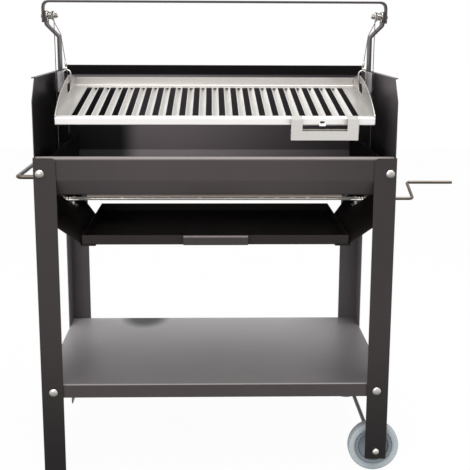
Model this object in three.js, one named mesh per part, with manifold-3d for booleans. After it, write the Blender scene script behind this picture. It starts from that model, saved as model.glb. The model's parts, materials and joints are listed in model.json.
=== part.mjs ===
// Argentine grill: a charcoal grill whose grate hangs on two cables that a cranked shaft winds up.
// Millimetres. While it is built, X runs right from the middle, Y from the front to the back
// and Z up from the ground. At the end the group is moved so that the origin is the middle of
// the bottom of the whole object's box.

import * as THREE from 'three';
import { mergeVertices } from 'three/addons/utils/BufferGeometryUtils.js';
import Module from 'manifold-3d';

const wasm = await Module();
wasm.setup();

// Driving dimensions: the stand and the firebox
const grillWidth = 800;
const grillDepth = 530;
const legTop = 749;
const shelfTop = 226;
const wheelDiameter = 120;
const rimRise = 2;
const sidePanelRise = 172;
const rearPanelRise = 10;
const panelFall = 87;
const sidePanelFall = 74;
const trayFall = 110;

// Driving dimensions: the lifting gear and the grate
const shaftFall = 56;
const shaftSetback = 32;
const pulleyRise = 135;
const archRise = 36;
const grateTiltDegrees = 8.4;
const grateFrontDepth = 48;
const grateRearRoom = 135;
const grateSideRoom = 44;
const grateRise = 83;

// Heights and sizes that follow from them
const rimHeight = legTop + rimRise;
const sidePanelTop = legTop + sidePanelRise;
const rearPanelTop = sidePanelTop + rearPanelRise;
const floorLipHeight = rimHeight - panelFall;
const sidePanelBottom = floorLipHeight - sidePanelFall;
const trayBottom = floorLipHeight - trayFall;
const shaftHeight = floorLipHeight - shaftFall;
const shaftDepth = grillDepth / 2 + shaftSetback;
const pulleyHeight = sidePanelTop + pulleyRise;
const archTop = pulleyHeight + archRise;
const grateWidth = grillWidth - grateSideRoom - grateSideRoom;
const grateLength = grillDepth - grateFrontDepth - grateRearRoom;
const grateFrontHeight = rimHeight + grateRise;

// Sheet gauges, stock sizes and clearances
const sheet = 2;
const legSheet = 3;
const stainlessSheet = 2;
const seatGap = 0.3;
const holeClearance = 0.6;
const overrun = 1;
const cableDiameter = 2;
const shaftDiameter = 8;

// Counts of facets on round things
const roundSides = 10;
const nutSides = 6;
const bendSteps = 3;
const wheelSides = 28;
const pulleySides = 18;
const cableSides = 8;
const slotSides = 20;
const loopSteps = 24;
const loopSides = 6;

// Finishes
const paint = finish(0x48423f, 0.45, 0.3);
const innerPaint = finish(0x2b2725, 0.6, 0.2);
const bracketPaint = finish(0xb4b2b4, 0.4, 0.6);
const stainless = finish(0xded8d0, 0.3, 0.95);
const plated = finish(0xc9c4bd, 0.3, 0.9);
const cableSteel = finish(0xb8b5ad, 0.4, 0.9);
const tyreRubber = finish(0x8f9aa0, 0.7, 0.0);
const hubPlastic = finish(0xb9c2c6, 0.5, 0.0);

function finish(color, roughness, metalness) {
  return new THREE.MeshStandardMaterial({ color, roughness, metalness, flatShading: true });
}

// A closed mesh reduced to shared positions, so that it can be cut, joined and merged
function bare(geometry) {
  const copy = geometry.clone();
  copy.deleteAttribute('normal');
  copy.deleteAttribute('uv');
  return mergeVertices(copy);
}

function toSolid(geometry) {
  const clean = bare(geometry);
  return new wasm.Manifold(new wasm.Mesh({
    numProp: 3,
    vertProperties: new Float32Array(clean.attributes.position.array),
    triVerts: new Uint32Array(clean.index.array),
  }));
}

function toGeometry(solid) {
  const mesh = solid.getMesh();
  const geometry = new THREE.BufferGeometry();
  geometry.setAttribute('position', new THREE.BufferAttribute(mesh.vertProperties, 3));
  geometry.setIndex(new THREE.BufferAttribute(mesh.triVerts, 1));
  return geometry;
}

function join(...geometries) {
  return toGeometry(geometries.map(toSolid).reduce((all, next) => all.add(next)));
}

function cut(geometry, ...tools) {
  return toGeometry(tools.map(toSolid).reduce((rest, tool) => rest.subtract(tool), toSolid(geometry)));
}

function common(geometry, ...others) {
  return toGeometry(others.map(toSolid).reduce((rest, next) => rest.intersect(next), toSolid(geometry)));
}

function mirrored(geometry) {
  const copy = bare(geometry);
  copy.scale(-1, 1, 1);
  flip(copy.index.array);
  return copy;
}

// Mirrors a front piece to the back of the grill
function mirroredBack(geometry) {
  const copy = mirrored(geometry);
  copy.rotateZ(Math.PI);
  copy.translate(0, grillDepth, 0);
  return copy;
}

function outline(points) {
  return new THREE.Shape(points.map(([a, b]) => new THREE.Vector2(a, b)));
}

function asShape(section) {
  return section instanceof THREE.Shape ? section : outline(section);
}

function extruded(section, depth) {
  return new THREE.ExtrudeGeometry(asShape(section), {
    depth,
    bevelEnabled: false,
    curveSegments: roundSides / 2,
  });
}

// A section of (Y, Z) points drawn out along X, of (X, Z) points along Y and of (X, Y) along Z
function alongX(section, from, to) {
  const geometry = extruded(section, to - from);
  const turn = new THREE.Matrix4().makeBasis(
    new THREE.Vector3(0, 1, 0), new THREE.Vector3(0, 0, 1), new THREE.Vector3(1, 0, 0));
  geometry.applyMatrix4(turn);
  return geometry.translate(from, 0, 0);
}

function alongY(section, from, to) {
  const geometry = extruded(section, to - from);
  const turn = new THREE.Matrix4().makeBasis(
    new THREE.Vector3(1, 0, 0), new THREE.Vector3(0, 0, 1), new THREE.Vector3(0, -1, 0));
  geometry.applyMatrix4(turn);
  return geometry.translate(0, to, 0);
}

function alongZ(section, from, to) {
  return extruded(section, to - from).translate(0, 0, from);
}

function block(x0, x1, y0, y1, z0, z1) {
  const geometry = new THREE.BoxGeometry(x1 - x0, y1 - y0, z1 - z0);
  return geometry.translate((x0 + x1) / 2, (y0 + y1) / 2, (z0 + z1) / 2);
}

// A round bar from one point to another
function bar(from, to, radius, sides = roundSides) {
  const start = new THREE.Vector3(...from);
  const end = new THREE.Vector3(...to);
  const geometry = new THREE.CylinderGeometry(radius, radius, start.distanceTo(end), sides);
  aim(geometry, new THREE.Vector3().subVectors(end, start));
  return geometry.translate(...start.add(end).multiplyScalar(0.5).toArray());
}

// Turns a piece made along +Y so that it points another way
function aim(geometry, direction) {
  const up = new THREE.Vector3(0, 1, 0);
  const turn = new THREE.Quaternion().setFromUnitVectors(up, direction.clone().normalize());
  return geometry.applyQuaternion(turn);
}

function turned(profile, sides = roundSides) {
  return outward(new THREE.LatheGeometry(profile.map(([r, y]) => new THREE.Vector2(r, y)), sides));
}

// Turns the faces of a closed mesh outwards, if they point inwards
function outward(geometry) {
  const copy = bare(geometry);
  const index = copy.index.array;
  const corner = (i) => new THREE.Vector3().fromBufferAttribute(copy.attributes.position, index[i]);
  let volume = 0;
  for (let i = 0; i < index.length; i += 3) {
    volume += corner(i).dot(corner(i + 1).cross(corner(i + 2)));
  }
  if (volume < 0) flip(index);
  return copy;
}

function flip(index) {
  for (let i = 0; i < index.length; i += 3) [index[i], index[i + 1]] = [index[i + 1], index[i]];
}

// Corners of a path rounded to one radius
function filleted(corners, radius, steps = bendSteps) {
  const points = corners.map((p) => new THREE.Vector3(...p));
  const path = [points[0]];
  for (let i = 1; i < points.length - 1; i += 1) {
    const toward = new THREE.Vector3().subVectors(points[i], points[i - 1]).normalize();
    const away = new THREE.Vector3().subVectors(points[i + 1], points[i]).normalize();
    const turn = toward.angleTo(away);
    const setback = radius * Math.tan(turn / 2);
    const start = points[i].clone().addScaledVector(toward, -setback);
    const end = points[i].clone().addScaledVector(away, setback);
    const inward = new THREE.Vector3().subVectors(away, toward).normalize();
    const centre = points[i].clone().addScaledVector(inward, radius / Math.cos(turn / 2));
    const first = start.clone().sub(centre);
    const last = end.clone().sub(centre);
    for (let k = 0; k <= steps; k += 1) {
      const share = k / steps;
      const point = centre.clone();
      point.addScaledVector(first, Math.sin((1 - share) * turn) / Math.sin(turn));
      point.addScaledVector(last, Math.sin(share * turn) / Math.sin(turn));
      path.push(point);
    }
  }
  path.push(points[points.length - 1]);
  return path;
}

// The section of a folded sheet: the path is one face, and the sheet lies to the left of it
function foldedSheet(corners, bendRadius, thickness) {
  const path = filleted(corners.map(([a, b]) => [a, b, 0]), bendRadius);
  const back = path.map((point, i) => {
    const before = path[Math.max(i - 1, 0)];
    const after = path[Math.min(i + 1, path.length - 1)];
    const into = new THREE.Vector3().subVectors(point, before).normalize();
    const out = new THREE.Vector3().subVectors(after, point).normalize();
    if (i === 0) into.copy(out);
    if (i === path.length - 1) out.copy(into);
    const mean = new THREE.Vector3().addVectors(into, out).normalize();
    const reach = thickness / mean.dot(out);
    return [point.x - mean.y * reach, point.y + mean.x * reach];
  });
  return [...path.map((point) => [point.x, point.y]), ...back.reverse()];
}

// A path with a ring of a tube at each of its points
class StationPath extends THREE.Curve {
  constructor(points) {
    super();
    this.points = points;
  }

  getPoint(t, target = new THREE.Vector3()) {
    const place = t * (this.points.length - 1);
    const index = Math.min(Math.floor(place), this.points.length - 2);
    return target.lerpVectors(this.points[index], this.points[index + 1], place - index);
  }

  getPointAt(u, target) {
    return this.getPoint(u, target);
  }

  getTangentAt(u, target = new THREE.Vector3()) {
    const index = Math.round(u * (this.points.length - 1));
    const before = this.points[Math.max(index - 1, 0)];
    const after = this.points[Math.min(index + 1, this.points.length - 1)];
    const here = this.points[index];
    const into = new THREE.Vector3().subVectors(here, before).normalize();
    const out = new THREE.Vector3().subVectors(after, here).normalize();
    return target.addVectors(into, out).normalize();
  }
}

// A tube along a path, as a bent rod or a cable
function tube(points, radius, sides) {
  const corners = [];
  for (let i = 0; i < sides; i += 1) {
    const angle = (i * 2 * Math.PI) / sides;
    corners.push([radius * Math.cos(angle), radius * Math.sin(angle)]);
  }
  return new THREE.ExtrudeGeometry(outline(corners), {
    steps: points.length - 1,
    extrudePath: new StationPath(points),
    bevelEnabled: false,
  });
}

// The least gap of a wound tube to itself: points nearer than one turn along it don't count
function leastGap(name, points, diameter, turnLength) {
  const along = [0];
  for (let i = 1; i < points.length; i += 1) {
    along.push(along[i - 1] + points[i].distanceTo(points[i - 1]));
  }
  let least = Infinity;
  for (let i = 0; i < points.length; i += 1) {
    for (let k = i + 1; k < points.length; k += 1) {
      if (along[k] - along[i] < turnLength / 2) continue;
      least = Math.min(least, points[i].distanceTo(points[k]) - diameter);
    }
  }
  console.log(`${name}: least gap to itself ${least.toFixed(2)} mm`);
}

const grill = new THREE.Group();

function add(name, material, geometry, parent = grill) {
  const mesh = new THREE.Mesh(bare(geometry), material);
  mesh.name = name;
  parent.add(mesh);
  return mesh;
}

// The same piece on both sides, mirrored at the left
function addPair(name, material, geometry, parent = grill) {
  add(`right_${name}`, material, geometry, parent);
  add(`left_${name}`, material, mirrored(geometry), parent);
}

// Planes that several pieces share
const halfWidth = grillWidth / 2;
const wallFront = legSheet + seatGap;
const wallRear = grillDepth - wallFront;
const wallSide = halfWidth - legSheet - seatGap;
const insideFront = wallFront + sheet;
const insideSide = wallSide - sheet;

// Fasteners of the stand: carriage bolts through leg and sheet, each with its nut run on
const boltRadius = 4;
const boltHeadRadius = 9.8;
const boltHeadHeight = 4.4;
const boltHeadShoulderShare = 0.78;
const boltHeadRimShare = 0.35;
const boltCrownShare = 0.94;
const boltCrownEdgeShare = 0.72;
const boltLength = 15;
const nutRadius = 7.4;
const nutHeight = 6.2;
const stackDepth = legSheet + seatGap + sheet;

function carriageBolt(x, z) {
  const headEdge = boltHeadHeight * boltHeadRimShare;
  const shoulder = boltHeadRadius * boltHeadShoulderShare;
  const bolt = turned([
    [0, boltHeadHeight], [shoulder / 2, boltHeadHeight * boltCrownShare],
    [shoulder, boltHeadHeight * boltCrownEdgeShare], [boltHeadRadius, headEdge],
    [boltHeadRadius, 0], [boltRadius, 0],
    [boltRadius, -boltLength], [0, -boltLength],
  ]);
  bolt.rotateX(Math.PI).translate(x, -seatGap, z);
  const inside = stackDepth + seatGap;
  const nut = bar([x, inside, z], [x, inside + nutHeight, z], nutRadius, nutSides);
  return join(bolt, nut);
}

// Legs: bent L sections, the flange with the bolts to the front, the side flange along the side
const legFlange = 50;
const legSide = 80;
const legBend = 3.4;
const legTopCorner = 10;
const legFootCorner = 4;
const wheeledFlangeFoot = 39;
const wheeledSideFoot = 123;
const panelBoltInset = 14.5;
const panelBoltFall = 35;
const shelfBoltInset = 27.5;
const shelfBoltFall = 19;
const axleInset = 26;
const axleHeight = wheelDiameter / 2;
const axleRadius = 5;
const handleRodRadius = 5;
const handleDepth = 40;
const handleFall = 47;

const panelBoltHeight = legTop - panelBoltFall;
const shelfBoltHeight = shelfTop - shelfBoltFall;
const handleHeight = legTop - handleFall;
const boltHoleRadius = boltRadius + holeClearance;
const panelBoltX = halfWidth - panelBoltInset;
const shelfBoltX = halfWidth - shelfBoltInset;
const axleX = halfWidth - axleInset;

// The front right leg; the others are mirrored from it
function leg(wheeled) {
  const innerEdge = halfWidth - legFlange;
  const section = foldedSheet(
    [[halfWidth, legSide], [halfWidth, 0], [innerEdge, 0]].reverse(), legBend, legSheet);
  const profile = alongZ(section, 0, legTop);
  const foot = wheeled ? wheeledFlangeFoot : 0;
  const face = roundedTop(innerEdge, halfWidth + overrun, foot, legTop, legTopCorner, legFootCorner);
  const shapes = [alongY(face, -overrun, legSide + overrun)];
  if (wheeled) {
    const step = [
      [-overrun, foot - overrun], [legBend + legSheet, foot - overrun],
      [legBend + legSheet, wheeledSideFoot], [legSide + overrun, wheeledSideFoot],
      [legSide + overrun, legTop + overrun], [-overrun, legTop + overrun],
    ];
    shapes.push(alongX(step, innerEdge - overrun, halfWidth + overrun));
  }
  const holes = [
    frontHole(panelBoltX, panelBoltHeight, boltHoleRadius),
    frontHole(shelfBoltX, shelfBoltHeight, boltHoleRadius),
  ];
  if (wheeled) holes.push(frontHole(axleX, axleHeight, axleRadius + holeClearance));
  else holes.push(sideHole(handleDepth, handleHeight, handleRodRadius + holeClearance));
  return cut(common(profile, ...shapes), ...holes);
}

// A flange outline: its inner top corner and inner bottom corner are round
function roundedTop(inner, outer, foot, top, topRadius, footRadius) {
  const shape = new THREE.Shape();
  shape.moveTo(outer, foot);
  shape.lineTo(outer, top);
  shape.lineTo(inner + topRadius, top);
  shape.absarc(inner + topRadius, top - topRadius, topRadius, Math.PI / 2, Math.PI, false);
  shape.lineTo(inner, foot + footRadius);
  shape.absarc(inner + footRadius, foot + footRadius, footRadius, Math.PI, Math.PI * 1.5, false);
  return shape;
}

const drillReach = stackDepth + boltLength;

function frontHole(x, z, radius) {
  return bar([x, -overrun, z], [x, drillReach, z], radius);
}

function sideHole(y, z, radius) {
  return bar([halfWidth - drillReach, y, z], [halfWidth + overrun, y, z], radius);
}

const wheeledLeg = leg(true);
const plainLeg = mirrored(leg(false));
add('front_right_leg', paint, wheeledLeg);
add('front_left_leg', paint, plainLeg);
add('rear_right_leg', paint, mirroredBack(wheeledLeg));
add('rear_left_leg', paint, mirroredBack(plainLeg));

// A tool for each of the four corners
function fourCorners(geometry) {
  const pair = [geometry, mirrored(geometry)];
  return [...pair, ...pair.map(mirroredBack)];
}

// Bottom shelf: a sheet folded down on its four sides
const shelfLip = 32;
const shelfBend = 4;

function bottomShelf() {
  const corners = [
    [wallRear, shelfTop - shelfLip], [wallRear, shelfTop], [wallFront, shelfTop],
    [wallFront, shelfTop - shelfLip],
  ];
  const round = filleted(corners.map(([y, z]) => [y, z, 0]), shelfBend).map((p) => [p.x, p.y]);
  const outside = alongX(round, -wallSide, wallSide);
  const hollow = block(
    -insideSide, insideSide, insideFront, wallRear - sheet,
    shelfTop - shelfLip - overrun, shelfTop - sheet);
  const holes = fourCorners(frontHole(shelfBoltX, shelfBoltHeight, boltHoleRadius));
  return cut(outside, hollow, ...holes);
}
add('bottom_shelf', paint, bottomShelf());

// Front and rear panels: folded sheets between the side panels, with a lip for the floor. The
// rear panel also has an apron that hangs down between the rear legs
const rimFlange = 14;
const rimBend = 6;
const panelBend = 6;
const frontFoldFall = 52;
const rearFoldFall = 48;
const floorLipFront = 25;
const floorLipDepth = 20;
const rearBandHeight = 24;
const rearBandLean = 8;
const apronOverlap = 6;
const apronLipRise = 23;
const apronLipDepth = 17;
const apronEdge = 6;
const apronBend = 2.6;
const panelHalf = insideSide - seatGap;
const frontFoldHeight = rimHeight - frontFoldFall;
const rearFoldHeight = rimHeight - rearFoldFall;
const apronHalf = halfWidth - legFlange - seatGap;
const apronTop = panelBoltHeight + apronOverlap;
const apronLipHeight = trayBottom + apronLipRise;

function frontPanel() {
  const section = foldedSheet([
    [wallFront + rimFlange, rimHeight], [wallFront, rimHeight], [wallFront, frontFoldHeight],
    [floorLipFront, floorLipHeight], [floorLipFront + floorLipDepth, floorLipHeight],
  ], rimBend, sheet);
  const drills = [frontHole(panelBoltX, panelBoltHeight, boltHoleRadius)];
  drills.push(mirrored(drills[0]));
  return cut(alongX(section, -panelHalf, panelHalf), ...drills);
}
add('front_panel', paint, frontPanel());

function rearPanel() {
  const lipRear = grillDepth - floorLipFront;
  const section = foldedSheet([
    [lipRear - floorLipDepth, floorLipHeight], [lipRear, floorLipHeight], [wallRear, rearFoldHeight],
    [wallRear, rearPanelTop - rearBandHeight], [wallRear - rearBandLean, rearPanelTop],
  ], panelBend, sheet);
  const panel = alongX(section, -panelHalf, panelHalf);
  const lip = wallRear - apronLipDepth;
  const apron = alongX(foldedSheet([
    [lip, apronLipHeight - apronEdge], [lip, apronLipHeight], [wallRear, apronLipHeight],
    [wallRear, apronTop],
  ], apronBend, sheet), -apronHalf, apronHalf);
  const drill = mirroredBack(frontHole(panelBoltX, panelBoltHeight, boltHoleRadius));
  return cut(join(panel, apron), drill, mirrored(drill));
}
add('rear_panel', paint, rearPanel());

// Side panels: tall sheets with a cut front corner and a hem turned outwards along the top
const cornerCutDepth = 42;
const cornerCutHeight = 48;
const hemWidth = 8;
const shaftRadius = shaftDiameter / 2;
const shaftHoleRadius = shaftRadius + holeClearance;

function rightSidePanel() {
  const shape = outline([
    [wallFront, sidePanelBottom], [wallRear, sidePanelBottom], [wallRear, legTop + seatGap],
    [grillDepth, legTop + seatGap], [grillDepth, sidePanelTop], [cornerCutDepth, sidePanelTop],
    [0, sidePanelTop - cornerCutHeight], [0, legTop + seatGap], [wallFront, legTop + seatGap],
  ]);
  const wall = alongX(shape, insideSide, wallSide);
  const hem = alongZ([
    [insideSide, cornerCutDepth], [wallSide, cornerCutDepth],
    [wallSide + hemWidth, cornerCutDepth + hemWidth], [wallSide + hemWidth, grillDepth],
    [insideSide, grillDepth],
  ], sidePanelTop - sheet, sidePanelTop);
  const shaftDrill = bar(
    [insideSide - overrun, shaftDepth, shaftHeight], [wallSide + overrun, shaftDepth, shaftHeight],
    shaftHoleRadius);
  return cut(join(wall, hem), shaftDrill);
}

function leftSidePanel() {
  const drill = mirrored(sideHole(handleDepth, handleHeight, handleRodRadius + holeClearance));
  return cut(mirrored(rightSidePanel()), drill, mirroredBack(drill));
}
add('right_side_panel', paint, rightSidePanel());
add('left_side_panel', paint, leftSidePanel());

// Firebox floor and end walls: the floor lies on the lips of the front and rear panels
const endWallInset = 26.7;
const ashHoleRadius = 5;
const ashHoleSideMargin = 48;
const ashHoleEndMargin = 145;
const ashHoleColumns = 17;
const ashHoleRows = 3;
const ashHoleSides = 6;
const endWallDrop = 2.5;
const endWallCorner = 5;

const endWallX = insideSide - endWallInset;
const ashHolePitch = (endWallX - ashHoleSideMargin) / ((ashHoleColumns - 1) / 2);
const ashHoleRowPitch = (grillDepth / 2 - ashHoleEndMargin) / ((ashHoleRows - 1) / 2);
const floorBottom = floorLipHeight + sheet + seatGap;
const floorFront = floorLipFront + sheet + sheet;

function fireboxFloor() {
  const rear = grillDepth - floorFront;
  const half = endWallX - seatGap;
  const shape = outline([[-half, floorFront], [half, floorFront], [half, rear], [-half, rear]]);
  for (let row = 0; row < ashHoleRows; row += 1) {
    for (let column = 0; column < ashHoleColumns; column += 1) {
      const x = (column - (ashHoleColumns - 1) / 2) * ashHolePitch;
      const y = grillDepth / 2 + (row - (ashHoleRows - 1) / 2) * ashHoleRowPitch;
      const hole = new THREE.Path();
      for (let i = 0; i < ashHoleSides; i += 1) {
        const angle = (-i * 2 * Math.PI) / ashHoleSides;
        const step = i === 0 ? 'moveTo' : 'lineTo';
        hole[step](x + ashHoleRadius * Math.cos(angle), y + ashHoleRadius * Math.sin(angle));
      }
      shape.holes.push(hole);
    }
  }
  return alongZ(shape, floorBottom, floorBottom + sheet);
}
add('firebox_floor', innerPaint, fireboxFloor());

function endWall() {
  const front = insideFront + seatGap;
  const rear = grillDepth - front;
  const top = rimHeight - sheet - endWallDrop;
  const slack = sheet + seatGap;
  const section = [
    [front + endWallCorner, top], [front, top - endWallCorner],
    [front, frontFoldHeight + slack], [floorFront + slack, floorBottom],
    [grillDepth - floorFront - slack, floorBottom], [rear, rearFoldHeight + slack], [rear, top],
  ];
  return alongX(section.reverse(), endWallX, endWallX + sheet);
}
addPair('end_wall', innerPaint, endWall());

// Hopper plates: slanted sheets that guide the ash into the tray and carry it on their lips
const trayInset = 102;
const hopperTrayGap = 5;
const hopperEdgeRise = 4;
const hopperSlopeDegrees = 35.6;
const hopperFlange = 17;
const hopperFront = 6;
const runnerReach = 35;
const hopperRearRoomInner = 202;
const hopperRearRoomOuter = 30;
const hopperBend = 3.5;
const notchInset = 55;
const notchHalfDepth = 18;

const trayHalfWidth = halfWidth - trayInset;
const hopperInner = trayHalfWidth + hopperTrayGap;
const hopperLowerEdge = trayBottom + hopperEdgeRise;
const hopperRearInner = grillDepth - hopperRearRoomInner;
const hopperRearOuter = grillDepth - hopperRearRoomOuter;
const notchInner = halfWidth - notchInset;

function hopperPlate() {
  const outer = panelHalf;
  const rise = (outer - hopperInner) * Math.tan((hopperSlopeDegrees * Math.PI) / 180);
  const runnerTop = trayBottom - seatGap;
  const runnerBottom = runnerTop - sheet;
  const section = foldedSheet([
    [hopperInner - runnerReach, runnerBottom], [hopperInner, runnerBottom],
    [hopperInner, hopperLowerEdge], [outer, hopperLowerEdge + rise],
    [outer, hopperLowerEdge + rise + hopperFlange],
  ], hopperBend, sheet);
  const top = hopperLowerEdge + rise + hopperFlange + overrun;
  const plan = [
    [hopperInner - runnerReach - overrun, hopperFront], [outer + overrun, hopperFront],
    [outer + overrun, hopperRearOuter], [hopperInner, hopperRearInner],
    [hopperInner - runnerReach - overrun, hopperRearInner],
  ];
  const notch = block(
    notchInner, outer + overrun, shaftDepth - notchHalfDepth, shaftDepth + notchHalfDepth,
    trayBottom, top);
  const sheetAlong = alongY(section, hopperFront - overrun, hopperRearOuter + overrun);
  return cut(common(sheetAlong, alongZ(plan, runnerBottom - overrun, top)), notch);
}
addPair('hopper_plate', innerPaint, hopperPlate());

// Ash tray: a low folded box with a plate handle on its front
const trayFront = 10;
const trayRearRoom = 118;
const trayRear = grillDepth - trayRearRoom;
const trayHeight = 21;
const trayHandleHalf = 72;
const trayHandleReach = 16;
const trayHandleDrop = 19;
const trayHandleSeat = 9;
const trayHandleBend = 2.6;

function ashTray() {
  const half = trayHalfWidth;
  const outside = block(-half, half, trayFront, trayRear, trayBottom, trayBottom + trayHeight);
  const inside = block(
    sheet - half, half - sheet, trayFront + sheet, trayRear - sheet,
    trayBottom + sheet, trayBottom + trayHeight + overrun);
  return cut(outside, inside);
}
add('ash_tray', paint, ashTray());

function trayHandle() {
  const top = trayBottom + trayHeight;
  const back = trayFront - seatGap;
  const section = foldedSheet([
    [back, top - trayHandleSeat], [back, top], [back - trayHandleReach, top],
    [back - trayHandleReach, top - trayHandleDrop],
  ], trayHandleBend, sheet);
  return alongX(section, -trayHandleHalf, trayHandleHalf);
}
add('ash_tray_handle', paint, trayHandle());

// Side handle: a bent rod on the left legs, away from the wheels, with a nut on each end
const handleReach = 42;
const handleBend = 12;
const handleRodSides = 10;
const handleEndLength = 9;
const handleNutRadius = 9.6;
const handleNutHeight = 8;

function sideHandle() {
  const inner = -(insideSide - handleEndLength);
  const outer = -(halfWidth + handleReach);
  const rear = grillDepth - handleDepth;
  const rod = tube(filleted([
    [inner, handleDepth, handleHeight], [outer, handleDepth, handleHeight],
    [outer, rear, handleHeight], [inner, rear, handleHeight],
  ], handleBend), handleRodRadius, handleRodSides);
  const seat = -(insideSide - seatGap);
  const nut = bar(
    [seat, handleDepth, handleHeight], [seat + handleNutHeight, handleDepth, handleHeight],
    handleNutRadius, nutSides);
  return join(rod, nut, mirroredBack(nut));
}
add('side_handle', plated, sideHandle());

// Two bolts through each leg: one into the front or rear panel, one into the shelf
for (const [name, x, z] of [
  ['panel_bolt', panelBoltX, panelBoltHeight], ['shelf_bolt', shelfBoltX, shelfBoltHeight],
]) {
  const bolt = carriageBolt(x, z);
  add(`front_right_${name}`, plated, bolt);
  add(`front_left_${name}`, plated, mirrored(bolt));
  add(`rear_right_${name}`, plated, mirroredBack(bolt));
  add(`rear_left_${name}`, plated, mirroredBack(mirrored(bolt)));
}

// Wheels: a hub and a tyre on one axle under the right legs
const wheelWidth = 30;
const wheelFront = 20;
const tyreDepth = 16;
const tyreInnerRadius = wheelDiameter / 2 - tyreDepth;
const tyreShoulder = 5;
const hubWeb = 8;
const hubRimWidth = 8;
const hubBossRadius = 17;
const hubBossWidth = 26;
const hubNeckRadius = 9;
const axleNutRadius = 8;
const axleNutLength = 12;
const axleNutHollow = 7;
const collarRadiusOnAxle = 8;
const collarLength = 8;
const axleGap = 0.5;
const tyreCrownShare = 1.6;
const tyreEdgeShare = 0.25;

const wheelMiddle = wheelFront + wheelWidth / 2;

function tyre() {
  const outer = wheelDiameter / 2;
  const half = wheelWidth / 2;
  const crown = tyreShoulder * tyreCrownShare;
  const edge = tyreShoulder * tyreEdgeShare;
  return turned([
    [tyreInnerRadius, -half + tyreShoulder], [tyreInnerRadius + tyreShoulder, -half],
    [outer - tyreShoulder, -half], [outer - edge, -half + tyreShoulder / 2],
    [outer, crown - half], [outer, half - crown],
    [outer - edge, half - tyreShoulder / 2], [outer - tyreShoulder, half],
    [tyreInnerRadius + tyreShoulder, half], [tyreInnerRadius, half - tyreShoulder],
    [tyreInnerRadius, -half + tyreShoulder],
  ], wheelSides);
}

function hub() {
  const rim = tyreInnerRadius - seatGap;
  const rimInside = rim - hubRimWidth;
  const half = wheelWidth / 2 - tyreShoulder;
  const boss = hubBossWidth / 2;
  const neck = wheelMiddle - legSheet - axleGap;
  const bore = axleRadius + axleGap;
  return turned([
    [bore, -neck], [hubNeckRadius, -neck], [hubNeckRadius, -boss], [hubBossRadius, -boss],
    [hubBossRadius, -hubWeb / 2], [rimInside, -hubWeb / 2], [rimInside, -half], [rim, -half],
    [rim, half], [rimInside, half], [rimInside, hubWeb / 2], [hubBossRadius, hubWeb / 2],
    [hubBossRadius, boss], [bore, boss], [bore, -neck],
  ], wheelSides);
}

function atFrontWheel(geometry) {
  return geometry.translate(axleX, wheelMiddle, axleHeight);
}
const frontTyre = atFrontWheel(tyre());
const frontHub = atFrontWheel(hub());
add('front_tyre', tyreRubber, frontTyre);
add('rear_tyre', tyreRubber, mirroredBack(frontTyre));
add('front_wheel_hub', hubPlastic, frontHub);
add('rear_wheel_hub', hubPlastic, mirroredBack(frontHub));

// The axle has a collar inside each wheel, and a domed nut outside each leg
function wheelAxle() {
  const reach = axleNutHollow - overrun;
  const rod = bar([axleX, -reach, axleHeight], [axleX, grillDepth + reach, axleHeight], axleRadius);
  const start = wheelMiddle + hubBossWidth / 2 + axleGap;
  const collar = bar(
    [axleX, start, axleHeight], [axleX, start + collarLength, axleHeight], collarRadiusOnAxle);
  return join(rod, collar, mirroredBack(collar));
}
add('wheel_axle', plated, wheelAxle());

const axleNutDomeShare = 0.55;
const axleNutCrownShare = 0.93;
const axleNutCrownRadiusShare = 0.55;

function axleNut() {
  const bore = axleRadius + holeClearance;
  const nut = turned([
    [0, axleNutLength],
    [axleNutRadius * axleNutCrownRadiusShare, axleNutLength * axleNutCrownShare],
    [axleNutRadius, axleNutLength * axleNutDomeShare], [axleNutRadius, 0], [bore, 0],
    [bore, axleNutHollow], [0, axleNutHollow],
  ]);
  return aim(nut, new THREE.Vector3(0, -1, 0)).translate(axleX, -seatGap, axleHeight);
}
add('front_axle_nut', plated, axleNut());
add('rear_axle_nut', plated, mirroredBack(axleNut()));

// Lifting arch: brackets in the side panels carry the arms, and the arms carry the arch
const bracketAhead = 59;
const bracketBehind = 38;
const bracketReach = 20.7;
const bracketFall = 45;
const bracketRise = 3;
const bracketLip = 15;
const bracketBend = 3;
const armThickness = 5;
const armWidth = 42;
const armSetback = 0.7;
const armCableHoleRadius = 4;
const archWidth = 20;
const armFall = 43;
const armBendLowFall = 49;
const armBendHighFall = 20;
const armTopRise = 11;
const armBend = 8;
const archOverhang = 16;
const archEndsFall = 16;
const archBend = 15;
const grooveRadius = 9;
const pulleyInset = 10;

const bracketFront = shaftDepth - bracketAhead;
const bracketRear = shaftDepth + bracketBehind;
const bracketPlateX = insideSide - bracketReach;
const bracketBottom = sidePanelTop - bracketFall;
const bracketTop = sidePanelTop + bracketRise;
const armBottom = sidePanelTop - armFall;
const armBendLow = pulleyHeight - armBendLowFall;
const armBendHigh = pulleyHeight - armBendHighFall;
const armTop = pulleyHeight + armTopRise;
const archHalf = halfWidth + archOverhang;
const archEnds = pulleyHeight - archEndsFall;
const pulleyX = halfWidth - pulleyInset;
const cableRadius = cableDiameter / 2;
const winchRadius = shaftRadius + seatGap + cableRadius;
const cableRiserDepth = shaftDepth + winchRadius;
const pulleyDepth = cableRiserDepth - grooveRadius - cableRadius;
const cableDropDepth = pulleyDepth - grooveRadius - cableRadius;
const armFront = cableDropDepth + cableRadius + seatGap + armSetback;
const armRear = armFront + armWidth;
const archFront = pulleyDepth - archWidth / 2;
const archRear = pulleyDepth + archWidth / 2;

function armBracket() {
  const outer = insideSide - seatGap;
  const section = foldedSheet([
    [outer, bracketRear - bracketLip], [outer, bracketRear], [bracketPlateX, bracketRear],
    [bracketPlateX, bracketFront],
  ], bracketBend, sheet);
  return alongZ(section, bracketBottom, bracketTop);
}
addPair('arm_bracket', bracketPaint, armBracket());

const pulleyBoltRadius = 4;
const archInner = archHalf - armThickness;

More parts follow.
